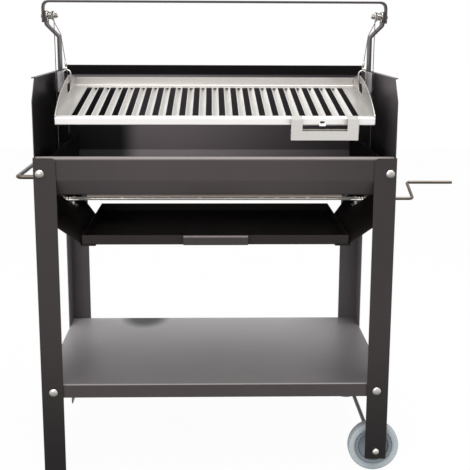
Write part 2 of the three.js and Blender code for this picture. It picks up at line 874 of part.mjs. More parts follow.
function pulleyBore(from, to) {
  const radius = pulleyBoltRadius + holeClearance;
  return bar([from, pulleyDepth, pulleyHeight], [to, pulleyDepth, pulleyHeight], radius);
}

// Each arm is a flat bar with a hole where the cable comes up through its slanted part
function liftArm() {
  const low = bracketPlateX + sheet + seatGap;
  const high = archInner - seatGap - armThickness;
  const section = foldedSheet([
    [low, armBottom], [low, armBendLow], [high, armBendHigh], [high, armTop],
  ].reverse(), armBend, armThickness);
  const flat = alongY(section, armFront, armRear);
  const cableHole = bar(
    [pulleyX, cableRiserDepth, armBendLow - armBend], [pulleyX, cableRiserDepth, armBendHigh + armBend],
    armCableHoleRadius);
  return cut(flat, pulleyBore(high - overrun, archInner), cableHole);
}
addPair('lift_arm', paint, liftArm());

function liftArch() {
  const section = foldedSheet([
    [archHalf, archEnds], [archHalf, archTop], [-archHalf, archTop], [-archHalf, archEnds],
  ], archBend, armThickness);
  const drill = pulleyBore(archInner - overrun, archHalf + overrun);
  return cut(alongY(section, archFront, archRear), drill, mirrored(drill));
}
add('lift_arch', paint, liftArch());

// Pulleys on their bolts, each bolt with a washer and two nuts run on
const pulleyWidth = 6;
const pulleyFlangeRadius = 11.4;
const pulleyLand = 0.9;
const grooveFloor = 2.4;
const pulleyEndNutHeight = 5.4;
const pulleyEndNutRadius = 6.2;
const pulleyLockNutHeight = 8.4;
const pulleyLockNutRadius = 8.8;
const pulleySideGap = 0.8;
const pulleyBoltEnd = 2.4;
const pulleyHeadRadius = 7.4;
const pulleyHeadHeight = 2.6;
const washerRadius = 13;
const washerThickness = 1.7;

function pulley() {
  const half = pulleyWidth / 2;
  const bore = pulleyBoltRadius + holeClearance;
  const wheel = turned([
    [bore, -half], [pulleyFlangeRadius, -half], [pulleyFlangeRadius, -half + pulleyLand],
    [grooveRadius, -grooveFloor / 2], [grooveRadius, grooveFloor / 2],
    [pulleyFlangeRadius, half - pulleyLand], [pulleyFlangeRadius, half], [bore, half],
    [bore, -half],
  ], pulleySides);
  return aim(wheel, new THREE.Vector3(1, 0, 0)).translate(pulleyX, pulleyDepth, pulleyHeight);
}
addPair('pulley', plated, pulley());

const pulleyEndNutX = pulleyX - pulleyWidth / 2 - pulleySideGap;
const pulleyLockNutX = pulleyX + pulleyWidth / 2 + pulleySideGap;

function pulleyBolt() {
  const end = pulleyEndNutX - pulleyEndNutHeight - pulleyBoltEnd;
  const head = archHalf + seatGap;
  const washer = archInner - seatGap - armThickness - seatGap;
  const disc = (from, to, radius, sides) => bar([from, 0, 0], [to, 0, 0], radius, sides);
  return join(
    disc(end, head + overrun, pulleyBoltRadius, roundSides),
    disc(head, head + pulleyHeadHeight, pulleyHeadRadius, nutSides),
    disc(washer - washerThickness, washer, washerRadius, pulleySides),
    disc(pulleyLockNutX, pulleyLockNutX + pulleyLockNutHeight, pulleyLockNutRadius, nutSides),
    disc(pulleyEndNutX - pulleyEndNutHeight, pulleyEndNutX, pulleyEndNutRadius, nutSides),
  ).translate(0, pulleyDepth, pulleyHeight);
}
addPair('pulley_bolt', plated, pulleyBolt());

// Crank shaft: one bent rod right across the grill, with the crank and its handle at the right
const crankStandoff = 100;
const crankHandleLength = 119;
const crankReachDepth = 85;
const crankReachHeight = 28;
const crankBend = 9;
const shaftSides = 10;
const collarWidth = 8;
const collarRadius = 8;
const shaftStub = 5;
const screwInset = 45;
const screwRadius = 2;
const screwDrop = 14;
const screwHeadRadius = 4.2;
const screwHeadHeight = 3.4;
const screwNutRadius = 4.4;
const screwNutHeight = 3.2;
const screwSides = 8;
const screwCrownShare = 0.7;

const crankX = halfWidth + crankStandoff;
const screwX = halfWidth - screwInset;
const collarInner = wallSide + seatGap;
const screwNutTop = -(shaftRadius + cableDiameter + seatGap + seatGap);

function crankShaft() {
  const leftEnd = -(collarInner + collarWidth + shaftStub);
  const pinDepth = shaftDepth + crankReachDepth;
  const pinHeight = shaftHeight + crankReachHeight;
  const rod = tube(filleted([
    [leftEnd, shaftDepth, shaftHeight], [crankX, shaftDepth, shaftHeight],
    [crankX, pinDepth, pinHeight], [crankX + crankHandleLength, pinDepth, pinHeight],
  ], crankBend), shaftRadius, shaftSides);
  const hole = bar(
    [screwX, shaftDepth, shaftHeight - shaftDiameter], [screwX, shaftDepth, shaftHeight + shaftDiameter],
    screwRadius + holeClearance, screwSides);
  return cut(join(rod, shaftCollar()), hole, mirrored(hole));
}

function shaftCollar() {
  return bar(
    [collarInner, shaftDepth, shaftHeight], [collarInner + collarWidth, shaftDepth, shaftHeight],
    collarRadius);
}
add('crank_shaft', plated, crankShaft());

// The right collar is part of the shaft, and the left one is a ring that goes on last
function shaftRing() {
  const bore = bar(
    [collarInner - overrun, shaftDepth, shaftHeight],
    [collarInner + collarWidth + overrun, shaftDepth, shaftHeight], shaftRadius + seatGap);
  return mirrored(cut(shaftCollar(), bore));
}
add('shaft_ring', plated, shaftRing());

function cableScrew() {
  const head = shaftRadius + seatGap;
  const screw = turned([
    [0, head + screwHeadHeight], [screwHeadRadius * screwCrownShare, head + screwHeadHeight],
    [screwHeadRadius, head + screwHeadHeight / 2], [screwHeadRadius, head],
    [screwRadius, head], [screwRadius, -screwDrop], [0, -screwDrop],
  ], screwSides);
  screw.rotateX(Math.PI / 2);
  const nut = bar([0, 0, screwNutTop - screwNutHeight], [0, 0, screwNutTop], screwNutRadius, nutSides);
  return join(screw, nut).translate(screwX, shaftDepth, shaftHeight);
}
addPair('cable_screw', plated, cableScrew());

// Cable windings: the turns of each cable on the shaft, one helix from the riser to the screw
const riserInset = 12;
const windingEndInset = 37;
const windingTurns = 3.25;
const windingLeadBend = 3;
const windingLeadSteps = 4;

const riserX = halfWidth - riserInset;
const windingEndX = halfWidth - windingEndInset;

function windingPath() {
  const points = [];
  const onShaft = (x, around) => new THREE.Vector3(
    x, shaftDepth + winchRadius * Math.cos(around), shaftHeight + winchRadius * Math.sin(around));
  const total = -windingTurns * 2 * Math.PI;
  const steps = Math.round(windingTurns * loopSteps);
  const leadTurn = windingLeadBend / winchRadius;
  const helixEnd = total + leadTurn;
  for (let i = 0; i <= steps; i += 1) {
    const share = i / steps;
    points.push(onShaft(THREE.MathUtils.lerp(riserX, windingEndX, share), helixEnd * share));
  }
  for (let i = 1; i <= windingLeadSteps; i += 1) {
    const share = (i / windingLeadSteps) * (Math.PI / 2);
    const x = windingEndX - windingLeadBend * (1 - Math.cos(share));
    points.push(onShaft(x, helixEnd - leadTurn * Math.sin(share)));
  }
  const last = points[points.length - 1];
  points.push(last.clone().setX(last.x - cableDiameter));
  return points;
}

const windingPoints = windingPath();
leastGap('cable winding', windingPoints, cableDiameter, 2 * Math.PI * winchRadius);
addPair('cable_winding', cableSteel, tube(windingPoints, cableRadius, loopSides));

// Cable risers: from the winding straight up and half round the pulley. The lower end stays
// clear of the turns that go round with the shaft
const saddleSteps = 12;

function riserPath() {
  const start = shaftHeight + cableDiameter;
  const points = [new THREE.Vector3(riserX, cableRiserDepth, start)];
  for (let i = 0; i <= saddleSteps; i += 1) {
    const angle = (i * Math.PI) / saddleSteps;
    const radius = grooveRadius + cableRadius + seatGap;
    points.push(new THREE.Vector3(
      pulleyX, pulleyDepth + radius * Math.cos(angle), pulleyHeight + radius * Math.sin(angle)));
  }
  return points;
}
function cableRiser() {
  const swept = winchRadius + cableRadius + seatGap;
  const clear = bar(
    [riserX - swept, shaftDepth, shaftHeight], [riserX + swept, shaftDepth, shaftHeight], swept, slotSides);
  return cut(tube(riserPath(), cableRadius, cableSides), clear);
}
addPair('cable_riser', cableSteel, cableRiser());

// The grate hangs tilted towards its front, where the fat runs into a channel
const grate = new THREE.Group();
grate.position.set(0, grateFrontDepth, grateFrontHeight);
grate.rotation.x = THREE.MathUtils.degToRad(grateTiltDegrees);
grill.add(grate);

// In the grate's own frame Y runs along its length and Z is square to it, zero at its top
const grateHalf = grateWidth / 2;
const frontFlange = 18;
const frontLip = 18;
const frontReturn = 10;
const channelBend = 3;
const rearFlange = 25;
const rearLip = 20;
const rearLipSlant = 12;
const spoutInset = 118;
const spoutWidth = 14;
const spoutReach = 7;
const spoutDip = 2.5;
const drainHeight = 5;

const spoutX = grateHalf - spoutInset;

function frontChannel() {
  const section = foldedSheet([
    [frontFlange, 0], [0, 0], [0, -frontLip], [frontReturn, -frontLip],
  ], channelBend, stainlessSheet);
  const channel = alongX(section, -grateHalf, grateHalf);
  const left = spoutX - spoutWidth / 2;
  const right = spoutX + spoutWidth / 2;
  const tongueTop = -frontLip + channelBend + stainlessSheet;
  const tongue = alongX([
    [stainlessSheet / 2, tongueTop], [-spoutReach, tongueTop - spoutDip],
    [-spoutReach, tongueTop - spoutDip - stainlessSheet], [stainlessSheet / 2, tongueTop - stainlessSheet],
  ], left, right);
  const drain = block(
    left + stainlessSheet, right - stainlessSheet, -overrun, stainlessSheet + overrun,
    tongueTop, tongueTop + drainHeight);
  return cut(join(channel, tongue), drain);
}
add('grate_front_channel', stainless, frontChannel(), grate);

function rearRail() {
  const section = foldedSheet([
    [grateLength, rearLip], [grateLength, 0], [grateLength - rearFlange, 0],
  ], stainlessSheet, stainlessSheet);
  const rail = alongX(section, -grateHalf, grateHalf);
  const slant = alongY([
    [grateHalf - rearLipSlant, rearLip + overrun], [grateHalf + overrun, stainlessSheet],
    [grateHalf + overrun, rearLip + overrun],
  ], grateLength - stainlessSheet - stainlessSheet, grateLength + overrun);
  return cut(rail, slant, mirrored(slant));
}

// The rack: V bars welded to the rear rail at their ends
const slotCount = 22;
const endFlatWidth = 26;
const slotWidth = 13.7;
const barDrop = 9;
const barWall = 1.7;
const barWeld = 4;

const barPitch = (grateHalf - endFlatWidth) / (slotCount / 2);
const barWidth = barPitch - slotWidth;
const barFrontEnd = frontFlange + seatGap;
const flatRearEnd = grateLength - rearFlange - seatGap;

function vBar() {
  const half = barWidth / 2;
  const inner = half - barWall;
  const section = [
    [-half, 0], [0, -barDrop], [half, 0], [inner, 0], [0, -(barDrop * inner) / half], [-inner, 0],
  ];
  return alongY(section, barFrontEnd, grateLength - rearFlange + barWeld);
}

function grateRack() {
  const pieces = [rearRail()];
  for (let i = 1; i < slotCount; i += 1) {
    pieces.push(vBar().translate((i - slotCount / 2) * barPitch, 0, 0));
  }
  return join(...pieces);
}
add('grate_rack', stainless, grateRack(), grate);

// End plates: a flat beside the last slot and a lug that stands up from it
const lugHeight = 45;
const lugFront = 3;
const lugRearHeight = 20;
const lugDepthShares = [0.03, 0.11, 0.22, 0.37, 0.53, 0.7, 0.8, 0.9];
const lugHeightShares = [0.18, 0.42, 0.67, 0.87, 1, 1, 0.9, 0.7];
const lugSlotAhead = 40;
const lugSlotBehind = 23;
const lugSlotBottom = 7;
const lugSlotTop = 33;
const lugHoleAhead = 87;
const lugHoleHeight = 12;
const lugHoleRadius = 3.5;
const lugCurveSteps = 16;

const tilt = THREE.MathUtils.degToRad(grateTiltDegrees);
const hangAlong = (cableDropDepth - grateFrontDepth) / Math.cos(tilt);
const lugRear = grateLength - stainlessSheet - seatGap;
const lugSlotFront = hangAlong - lugSlotAhead;
const lugSlotRear = hangAlong + lugSlotBehind;
const lugHoleDepth = hangAlong - lugHoleAhead;

function endPlate() {
  const flatInner = ((slotCount - 1) * barPitch + slotWidth) / 2;
  const flat = block(flatInner, grateHalf, barFrontEnd, flatRearEnd, -stainlessSheet, 0);
  const crest = new THREE.SplineCurve([
    new THREE.Vector2(0, lugFront),
    ...lugDepthShares.map((share, i) => (
      new THREE.Vector2(share * lugRear, lugHeightShares[i] * lugHeight))),
    new THREE.Vector2(lugRear, lugRearHeight),
  ]).getPoints(lugCurveSteps).map((p) => [p.x, p.y]);
  const shape = outline([
    [flatRearEnd, -stainlessSheet], [flatRearEnd, seatGap], [lugRear, seatGap],
    [lugRear, lugRearHeight], ...crest.slice(1, -1).reverse(),
    [0, lugFront], [0, seatGap], [barFrontEnd, seatGap], [barFrontEnd, -stainlessSheet],
  ].reverse());
  const slotRadius = (lugSlotTop - lugSlotBottom) / 2;
  const slotMiddle = lugSlotBottom + slotRadius;
  const inner = grateHalf - stainlessSheet;
  const lug = alongX(shape, inner, grateHalf);
  const drill = (y, z, radius) => bar(
    [inner - overrun, y, z], [grateHalf + overrun, y, z], radius, slotSides);
  const slotMiddlePart = block(
    inner - overrun, grateHalf + overrun, lugSlotFront + slotRadius, lugSlotRear - slotRadius,
    lugSlotBottom, lugSlotTop);
  return cut(
    join(flat, lug), slotMiddlePart, drill(lugSlotFront + slotRadius, slotMiddle, slotRadius),
    drill(lugSlotRear - slotRadius, slotMiddle, slotRadius),
    drill(lugHoleDepth, lugHoleHeight, lugHoleRadius));
}
addPair('grate_end', stainless, endPlate(), grate);

// Grease cup: a folded box in front of the channel. Its front wall runs up in two straps,
// which are bent back over the channel
const cupInset = 39;
const cupWidth = 150;
const cupStrapWidth = 25;
const cupDrop = 46.5;
const cupWallHeight = 20.5;
const cupDepth = 20.5;
const cupSheet = 1.5;
const cupHookLength = 10;

const cupRight = grateHalf - cupInset;
const cupLeft = cupRight - cupWidth;

function greaseCup() {
  const back = -seatGap;
  const front = back - cupDepth;
  const bottom = -cupDrop;
  const rim = bottom + cupWallHeight;
  const body = block(cupLeft, cupRight, front, back, bottom, rim);
  const hollow = block(
    cupLeft + cupSheet, cupRight - cupSheet, front + cupSheet, back - cupSheet,
    bottom + cupSheet, rim + overrun);
  const strapSection = [
    [front, rim - overrun], [front + cupSheet, rim - overrun], [front + cupSheet, seatGap],
    [cupHookLength, seatGap], [cupHookLength, seatGap + cupSheet], [front, seatGap + cupSheet],
  ];
  const left = alongX(strapSection, cupLeft, cupLeft + cupStrapWidth);
  const right = alongX(strapSection, cupRight - cupStrapWidth, cupRight);
  return join(cut(body, hollow), left, right);
}
add('grease_cup', stainless, greaseCup(), grate);

// Hanging rings: an oval link through each lug's slot, and a crimped cable eyelet above it
const ringWireRadius = 2;
const ringOffset = 4;
const ringHalfWidth = 9;
const ringHeadroom = 13;
const ringSlack = 4;
const ringSides = 6;
const ringArcSteps = 8;

const ringX = grateHalf + ringOffset;

// Height of a point of the lug above the ground, where the ring's plane crosses the lug
function lugPointHeight(height) {
  const along = hangAlong + height * Math.tan(tilt);
  return grateFrontHeight + along * Math.sin(tilt) + height * Math.cos(tilt);
}

const ringBottom = lugPointHeight(lugSlotTop) - ringSlack - ringWireRadius;
const ringTop = lugPointHeight(lugHeight) + ringHeadroom;

function hangingRing() {
  const lower = ringBottom + ringHalfWidth;
  const upper = ringTop - ringHalfWidth;
  const ends = [];
  for (let i = 0; i <= ringArcSteps; i += 1) {
    const angle = (i * Math.PI) / ringArcSteps;
    ends.push([ringX + ringHalfWidth * Math.cos(angle), upper + ringHalfWidth * Math.sin(angle)]);
  }
  for (let i = 0; i <= ringArcSteps; i += 1) {
    const angle = Math.PI + (i * Math.PI) / ringArcSteps;
    ends.push([ringX + ringHalfWidth * Math.cos(angle), lower + ringHalfWidth * Math.sin(angle)]);
  }
  return closedLoop(ends.map(([x, z]) => new THREE.Vector3(x, cableDropDepth, z)), ringWireRadius);
}

// A closed ring of wire through points that lie in one plane along X and Z, or Y and Z
function closedLoop(points, radius) {
  const count = points.length;
  const middle = points.reduce((sum, p) => sum.add(p), new THREE.Vector3()).divideScalar(count);
  const positions = [];
  for (let i = 0; i < count; i += 1) {
    const before = points[(i + count - 1) % count];
    const after = points[(i + 1) % count];
    const along = new THREE.Vector3().subVectors(after, before).normalize();
    const flat = new THREE.Vector3().subVectors(points[i], middle);
    const square = new THREE.Vector3().crossVectors(along, flat).normalize();
    const out = new THREE.Vector3().crossVectors(square, along).normalize();
    for (let k = 0; k < ringSides; k += 1) {
      const angle = (k * 2 * Math.PI) / ringSides;
      const point = points[i].clone();
      point.addScaledVector(out, radius * Math.cos(angle));
      point.addScaledVector(square, radius * Math.sin(angle));
      positions.push(...point.toArray());
    }
  }
  const index = [];
  for (let i = 0; i < count; i += 1) {
    for (let k = 0; k < ringSides; k += 1) {
      const a = i * ringSides + k;
      const b = i * ringSides + ((k + 1) % ringSides);
      const c = ((i + 1) % count) * ringSides + k;
      const d = ((i + 1) % count) * ringSides + ((k + 1) % ringSides);
      index.push(a, b, c, b, d, c);
    }
  }
  const geometry = new THREE.BufferGeometry();
  geometry.setAttribute('position', new THREE.Float32BufferAttribute(positions, 3));
  geometry.setIndex(index);
  return outward(geometry);
}
addPair('hanging_ring', plated, hangingRing());

const eyeletRadius = 5.6;
const eyeletWireRadius = 1.2;
const sleeveRadius = 2.6;
const sleeveLength = 13;
const eyeletSteps = 12;
const dropBendOffset = 2.5;
const dropBendRise = 5;
const dropLead = 8;

const eyeletHeight = ringTop - ringWireRadius - seatGap - eyeletWireRadius + eyeletRadius;
const eyeletCentre = new THREE.Vector3(ringX, cableDropDepth, eyeletHeight);
const dropTop = new THREE.Vector3(
  pulleyX, pulleyDepth - grooveRadius - cableRadius - seatGap, pulleyHeight - seatGap);
const dropBend = new THREE.Vector3(
  bracketPlateX - dropBendOffset, cableDropDepth, armBendLow + dropBendRise);
const dropDirection = new THREE.Vector3().subVectors(dropBend, eyeletCentre).normalize();
const sleeveStart = eyeletCentre.clone().addScaledVector(dropDirection, eyeletRadius);
const sleeveEnd = sleeveStart.clone().addScaledVector(dropDirection, sleeveLength);

function cableEyelet() {
  const loop = [];
  for (let i = 0; i < eyeletSteps; i += 1) {
    const angle = (i * 2 * Math.PI) / eyeletSteps;
    const y = cableDropDepth + eyeletRadius * Math.cos(angle);
    loop.push(new THREE.Vector3(ringX, y, eyeletHeight + eyeletRadius * Math.sin(angle)));
  }
  const sleeve = bar(sleeveStart.toArray(), sleeveEnd.toArray(), sleeveRadius);
  return join(closedLoop(loop, eyeletWireRadius), sleeve);
}
addPair('cable_eyelet', plated, cableEyelet());

// Cable drops: the last run, from the pulley past the bend of the arm and down to the eyelet
function cableDrop() {
  const low = sleeveEnd.clone().addScaledVector(dropDirection, seatGap);
  const lead = dropTop.clone().setZ(dropTop.z - dropLead);
  return tube([low, dropBend, lead, dropTop], cableRadius, cableSides);
}
addPair('cable_drop', cableSteel, cableDrop());

// The origin goes to the middle of the bottom of the box round everything
const box = new THREE.Box3().setFromObject(grill, true);
const middle = box.getCenter(new THREE.Vector3());
grill.position.set(-middle.x, -middle.y, -box.min.z);

export default grill;
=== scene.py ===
# %% [markdown]
# # An Argentine grill, dressed
# The grill is a welded and bolted sheet-steel stand with a stainless grate that hangs on two
# cables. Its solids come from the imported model. This script gives every surface its finish and
# swaps the coarse round parts (wheels, bolts, rods, pulleys, cables) for smooth ones.

import json
import math

import bmesh
import bpy
from mathutils import Matrix, Vector


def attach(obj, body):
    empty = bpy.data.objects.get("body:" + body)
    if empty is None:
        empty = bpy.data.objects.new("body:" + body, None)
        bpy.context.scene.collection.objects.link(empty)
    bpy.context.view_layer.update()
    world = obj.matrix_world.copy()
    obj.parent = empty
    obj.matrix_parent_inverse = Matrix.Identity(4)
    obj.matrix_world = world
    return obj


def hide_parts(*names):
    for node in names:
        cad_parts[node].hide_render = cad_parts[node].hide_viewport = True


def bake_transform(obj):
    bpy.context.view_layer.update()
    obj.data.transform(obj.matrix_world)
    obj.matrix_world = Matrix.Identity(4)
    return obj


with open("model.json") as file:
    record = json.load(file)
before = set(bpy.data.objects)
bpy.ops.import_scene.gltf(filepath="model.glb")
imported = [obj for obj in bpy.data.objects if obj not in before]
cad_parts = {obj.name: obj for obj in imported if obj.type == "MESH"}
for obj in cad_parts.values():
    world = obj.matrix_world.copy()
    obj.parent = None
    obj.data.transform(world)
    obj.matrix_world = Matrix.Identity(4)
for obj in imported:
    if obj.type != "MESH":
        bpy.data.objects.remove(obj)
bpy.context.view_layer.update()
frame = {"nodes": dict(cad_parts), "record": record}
print("nodes:", len(frame["nodes"]))

# %% [markdown]
# ## Workshop measures
# The grill was drawn in millimetres, from the middle of its width, its front and the ground.
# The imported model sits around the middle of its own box, in metres. One small function turns a
# workshop measure into a place in the scene, so that every number below can be read off a
# drawing of the grill. A second one gives the front and the rear in turn, because the stand is
# the same at both.

# %% Workshop measures
MM = 0.001
MIDDLE_OF_BOX = 86.1425
GRILL_DEPTH = 530.0
HALF_DEPTH = GRILL_DEPTH / 2
SEAT_GAP = 0.3
SHAFT_Y, SHAFT_Z = 297.0, 608.0
PULLEY_X, PULLEY_Y, PULLEY_Z = 390.0, 292.3, 1056.0
WHEEL_X, WHEEL_Z = 374.0, 60.0
RING_X, DROP_Y = 360.0, 282.3
HANDS = (("right", 1), ("left", -1))


def at(x, y, z):
    """A workshop measure in millimetres as a place in the scene."""
    return Vector(((x - MIDDLE_OF_BOX) * MM, (y - HALF_DEPTH) * MM, z * MM))


def front_and_rear(inset):
    """Both ends of the grill: the name, the depth so far in from that end, and the way inwards."""
    return (("front", inset, 1), ("rear", GRILL_DEPTH - inset, -1))


print("origin of the workshop measures:", tuple(round(v, 4) for v in at(0, 0, 0)))

# %% [markdown]
# ## The camera
# The picture was taken from a little over two metres, from just above the rim, with a portrait
# lens. Such a long lens keeps the legs nearly upright. The camera is built from its own three
# directions: where it looks, what is right of it and what is above it.

# %% The camera
LENS = 74.07
CAMERA_PLACE = at(-9.775, -2104.82, 1030.53)
LOOKING_DOWN, TURNED_RIGHT, TILTED = 12.136, 1.434, 0.232

camera_data = bpy.data.cameras.new("camera")
camera_data.sensor_width = 36.0
camera_data.lens = LENS
camera_data.clip_end = 50.0
camera = bpy.data.objects.new("camera", camera_data)
bpy.context.scene.collection.objects.link(camera)
pitch, yaw, roll = (math.radians(a) for a in (LOOKING_DOWN, TURNED_RIGHT, TILTED))
looks = Vector((
    math.sin(yaw) * math.cos(pitch), math.cos(yaw) * math.cos(pitch), -math.sin(pitch)))
level = Vector((math.cos(yaw), -math.sin(yaw), 0.0))
above = level.cross(looks)
right = level * math.cos(roll) + above * math.sin(roll)
top = above * math.cos(roll) - level * math.sin(roll)
camera.matrix_world = Matrix.Translation(CAMERA_PLACE) @ Matrix(
    (right, top, -looks)).transposed().to_4x4()
bpy.context.scene.camera = camera
bpy.context.scene.view_settings.view_transform = "Standard"
print("camera at", tuple(round(v, 3) for v in camera.location))

# %% [markdown]
# ## The studio
# The grill stands in a white photo studio. What the camera and the metal see around it is plain
# white, and what lights it is softer: a wide box overhead and a weak one in front. The floor is
# white as well, but it still takes a little of the grill's shadow.

# %% White to the camera, softer on the grill
FILL_LIGHT = 0.62
WHITE = (1, 1, 1, 1)


def empty_nodes(owner):
    """The node tree of a world or a material, cleared: its nodes and its links."""
    owner.use_nodes = True
    owner.node_tree.nodes.clear()
    return owner.node_tree.nodes, owner.node_tree.links


def seen_by(nodes, links, *rays):
    """1 for the kinds of ray that are named, 0 for any other."""
    light_path = nodes.new("ShaderNodeLightPath")
    seen = light_path.outputs[rays[0]]
    for ray in rays[1:]:
        either = nodes.new("ShaderNodeMath")
        either.operation = "MAXIMUM"
        links.new(seen, either.inputs[0])
        links.new(light_path.outputs[ray], either.inputs[1])
        seen = either.outputs[0]
    return seen


world = bpy.data.worlds.new("studio")
bpy.context.scene.world = world
nodes, links = empty_nodes(world)
lighting = nodes.new("ShaderNodeBackground")
lighting.inputs["Color"].default_value = WHITE
lighting.inputs["Strength"].default_value = FILL_LIGHT
backdrop = nodes.new("ShaderNodeBackground")
backdrop.inputs["Color"].default_value = WHITE
choose = nodes.new("ShaderNodeMixShader")
world_out = nodes.new("ShaderNodeOutputWorld")
seen = seen_by(nodes, links, "Is Camera Ray", "Is Glossy Ray", "Is Transmission Ray")
links.new(seen, choose.inputs[0])
links.new(lighting.outputs[0], choose.inputs[1])
links.new(backdrop.outputs[0], choose.inputs[2])
links.new(choose.outputs[0], world_out.inputs["Surface"])
print("light from all sides:", FILL_LIGHT)

# %% Two soft lamps
MIDDLE_OF_GRILL = (0, 0, 0.6)


def softbox(name, place, target, size, power):
    """A flat rectangular lamp that looks at a point of the grill."""
    lamp_data = bpy.data.lights.new(name, "AREA")
    lamp_data.shape = "RECTANGLE"
    lamp_data.size, lamp_data.size_y = size
    lamp_data.energy = power
    lamp = bpy.data.objects.new(name, lamp_data)
    bpy.context.scene.collection.objects.link(lamp)
    lamp.location = place
    lamp.rotation_euler = (Vector(target) - Vector(place)).to_track_quat("-Z", "Y").to_euler()
    print(f"{name}: {power} W from {tuple(place)}")


softbox("overhead_box", (0.4, -0.6, 3.0), MIDDLE_OF_GRILL, size=(2.6, 2.0), power=62)
softbox("front_box", (-1.4, -3.2, 1.7), MIDDLE_OF_GRILL, size=(1.8, 1.8), power=30)

# %% The floor
FLOOR_REACH = 6
PLAIN_WHITE_SHARE = 0.965
FLOOR_COLOUR = (0.95, 0.95, 0.95, 1)

floor_mesh = bpy.data.meshes.new("studio_floor")
corners = [(x * FLOOR_REACH, y * FLOOR_REACH, 0) for x, y in ((-1, -1), (1, -1), (1, 1), (-1, 1))]
floor_mesh.from_pydata(corners, [], [(0, 1, 2, 3)])
floor = bpy.data.objects.new("studio_floor", floor_mesh)
bpy.context.scene.collection.objects.link(floor)
floor_paint = bpy.data.materials.new("studio_floor")
nodes, links = empty_nodes(floor_paint)
share = nodes.new("ShaderNodeMath")
share.operation = "MULTIPLY"
share.inputs[1].default_value = PLAIN_WHITE_SHARE
matt = nodes.new("ShaderNodeBsdfDiffuse")
matt.inputs["Color"].default_value = FLOOR_COLOUR
glow = nodes.new("ShaderNodeEmission")
choose = nodes.new("ShaderNodeMixShader")
floor_out = nodes.new("ShaderNodeOutputMaterial")
links.new(seen_by(nodes, links, "Is Camera Ray", "Is Glossy Ray"), share.inputs[0])
links.new(share.outputs[0], choose.inputs[0])
links.new(matt.outputs[0], choose.inputs[1])
links.new(glow.outputs[0], choose.inputs[2])
links.new(choose.outputs[0], floor_out.inputs["Surface"])
floor_mesh.materials.append(floor_paint)
print("floor:", 2 * FLOOR_REACH, "m wide")

# %% [markdown]
# ## Effects that several finishes share
# Real paint and metal are never one even colour. Powder coat has a fine orange-peel skin, brushed
# steel has long scratches along one direction, and every outer edge catches light because it is
# a little round. Each of these is a node group with a few named dials, so that each finish can
# turn them its own way.


# %% A helper for node groups
def new_group(name, inputs, outputs):
    """A shader group with float inputs (name, value) and outputs (name, kind)."""
    group = bpy.data.node_groups.new(name, "ShaderNodeTree")
    for label, value in inputs:
        socket = group.interface.new_socket(label, in_out="INPUT", socket_type="NodeSocketFloat")
        socket.default_value = value
    for label, kind in outputs:
        group.interface.new_socket(label, in_out="OUTPUT", socket_type=f"NodeSocket{kind}")
    return group, group.nodes.new("NodeGroupInput"), group.nodes.new("NodeGroupOutput")


def maths(tree, operation, first, second):
    """A maths node; each side is a socket or a number."""
    node = tree.nodes.new("ShaderNodeMath")
    node.operation = operation
    for socket, value in zip(node.inputs, (first, second)):
        if isinstance(value, (int, float)):
            socket.default_value = value
        else:
            tree.links.new(value, socket)
    return node.outputs[0]


def noise(tree, coordinates, scale, detail=3.0):
    """Soft random blotches, from 0 to 1."""
    node = tree.nodes.new("ShaderNodeTexNoise")
    node.inputs["Scale"].default_value = scale
    node.inputs["Detail"].default_value = detail
    tree.links.new(coordinates, node.inputs["Vector"])
    return node.outputs[0]


def stretched(tree, scale):
    """The place on the object in metres, stretched by three factors."""
    place = tree.nodes.new("ShaderNodeTexCoord")
    mapping = tree.nodes.new("ShaderNodeMapping")
    mapping.inputs["Scale"].default_value = scale
    tree.links.new(place.outputs["Object"], mapping.inputs["Vector"])
    return mapping.outputs[0]


# %% Powder coat skin
powder_skin, skin_in, skin_out = new_group(
    "powder_skin", [("Pebble Size", 900.0), ("Dust", 0.1)],
    [("Height", "Float"), ("Dust Mask", "Float")])
place = stretched(powder_skin, (1, 1, 1))
pebbles = powder_skin.nodes.new("ShaderNodeTexNoise")
pebbles.inputs["Detail"].default_value = 2.0
powder_skin.links.new(place, pebbles.inputs["Vector"])
powder_skin.links.new(skin_in.outputs["Pebble Size"], pebbles.inputs["Scale"])
powder_skin.links.new(pebbles.outputs[0], skin_out.inputs["Height"])
clouds = noise(powder_skin, place, scale=7.0, detail=6.0)
streaks = noise(powder_skin, stretched(powder_skin, (26, 26, 4)), scale=1.0, detail=4.0)
dusty = maths(powder_skin, "MULTIPLY", clouds, streaks)
powder_skin.links.new(
    maths(powder_skin, "MULTIPLY", dusty, skin_in.outputs["Dust"]), skin_out.inputs["Dust Mask"])
print("shared effect:", powder_skin.name)

# %% Brushed metal, in one direction
COARSE_SCRATCH = 0.22


def brushed_group(name, scale):
    """Fine parallel scratches: noise that is drawn out very long in one direction."""
    group, dials, out = new_group(
        name, [("Depth", 1.0)], [("Height", "Float"), ("Streak", "Float")])
    fine = noise(group, stretched(group, scale), scale=1.0, detail=5.0)
    wider = tuple(s * COARSE_SCRATCH for s in scale)
    coarse = noise(group, stretched(group, wider), scale=1.0, detail=3.0)
    both = maths(
        group, "ADD", maths(group, "MULTIPLY", fine, 0.6), maths(group, "MULTIPLY", coarse, 0.4))
    group.links.new(maths(group, "MULTIPLY", both, dials.outputs["Depth"]), out.inputs["Height"])
    group.links.new(both, out.inputs["Streak"])
    print("shared effect:", name)
    return group


brushed_back = brushed_group("brushed_front_to_back", (1400, 14, 1400))
brushed_across = brushed_group("brushed_across", (14, 1400, 1400))

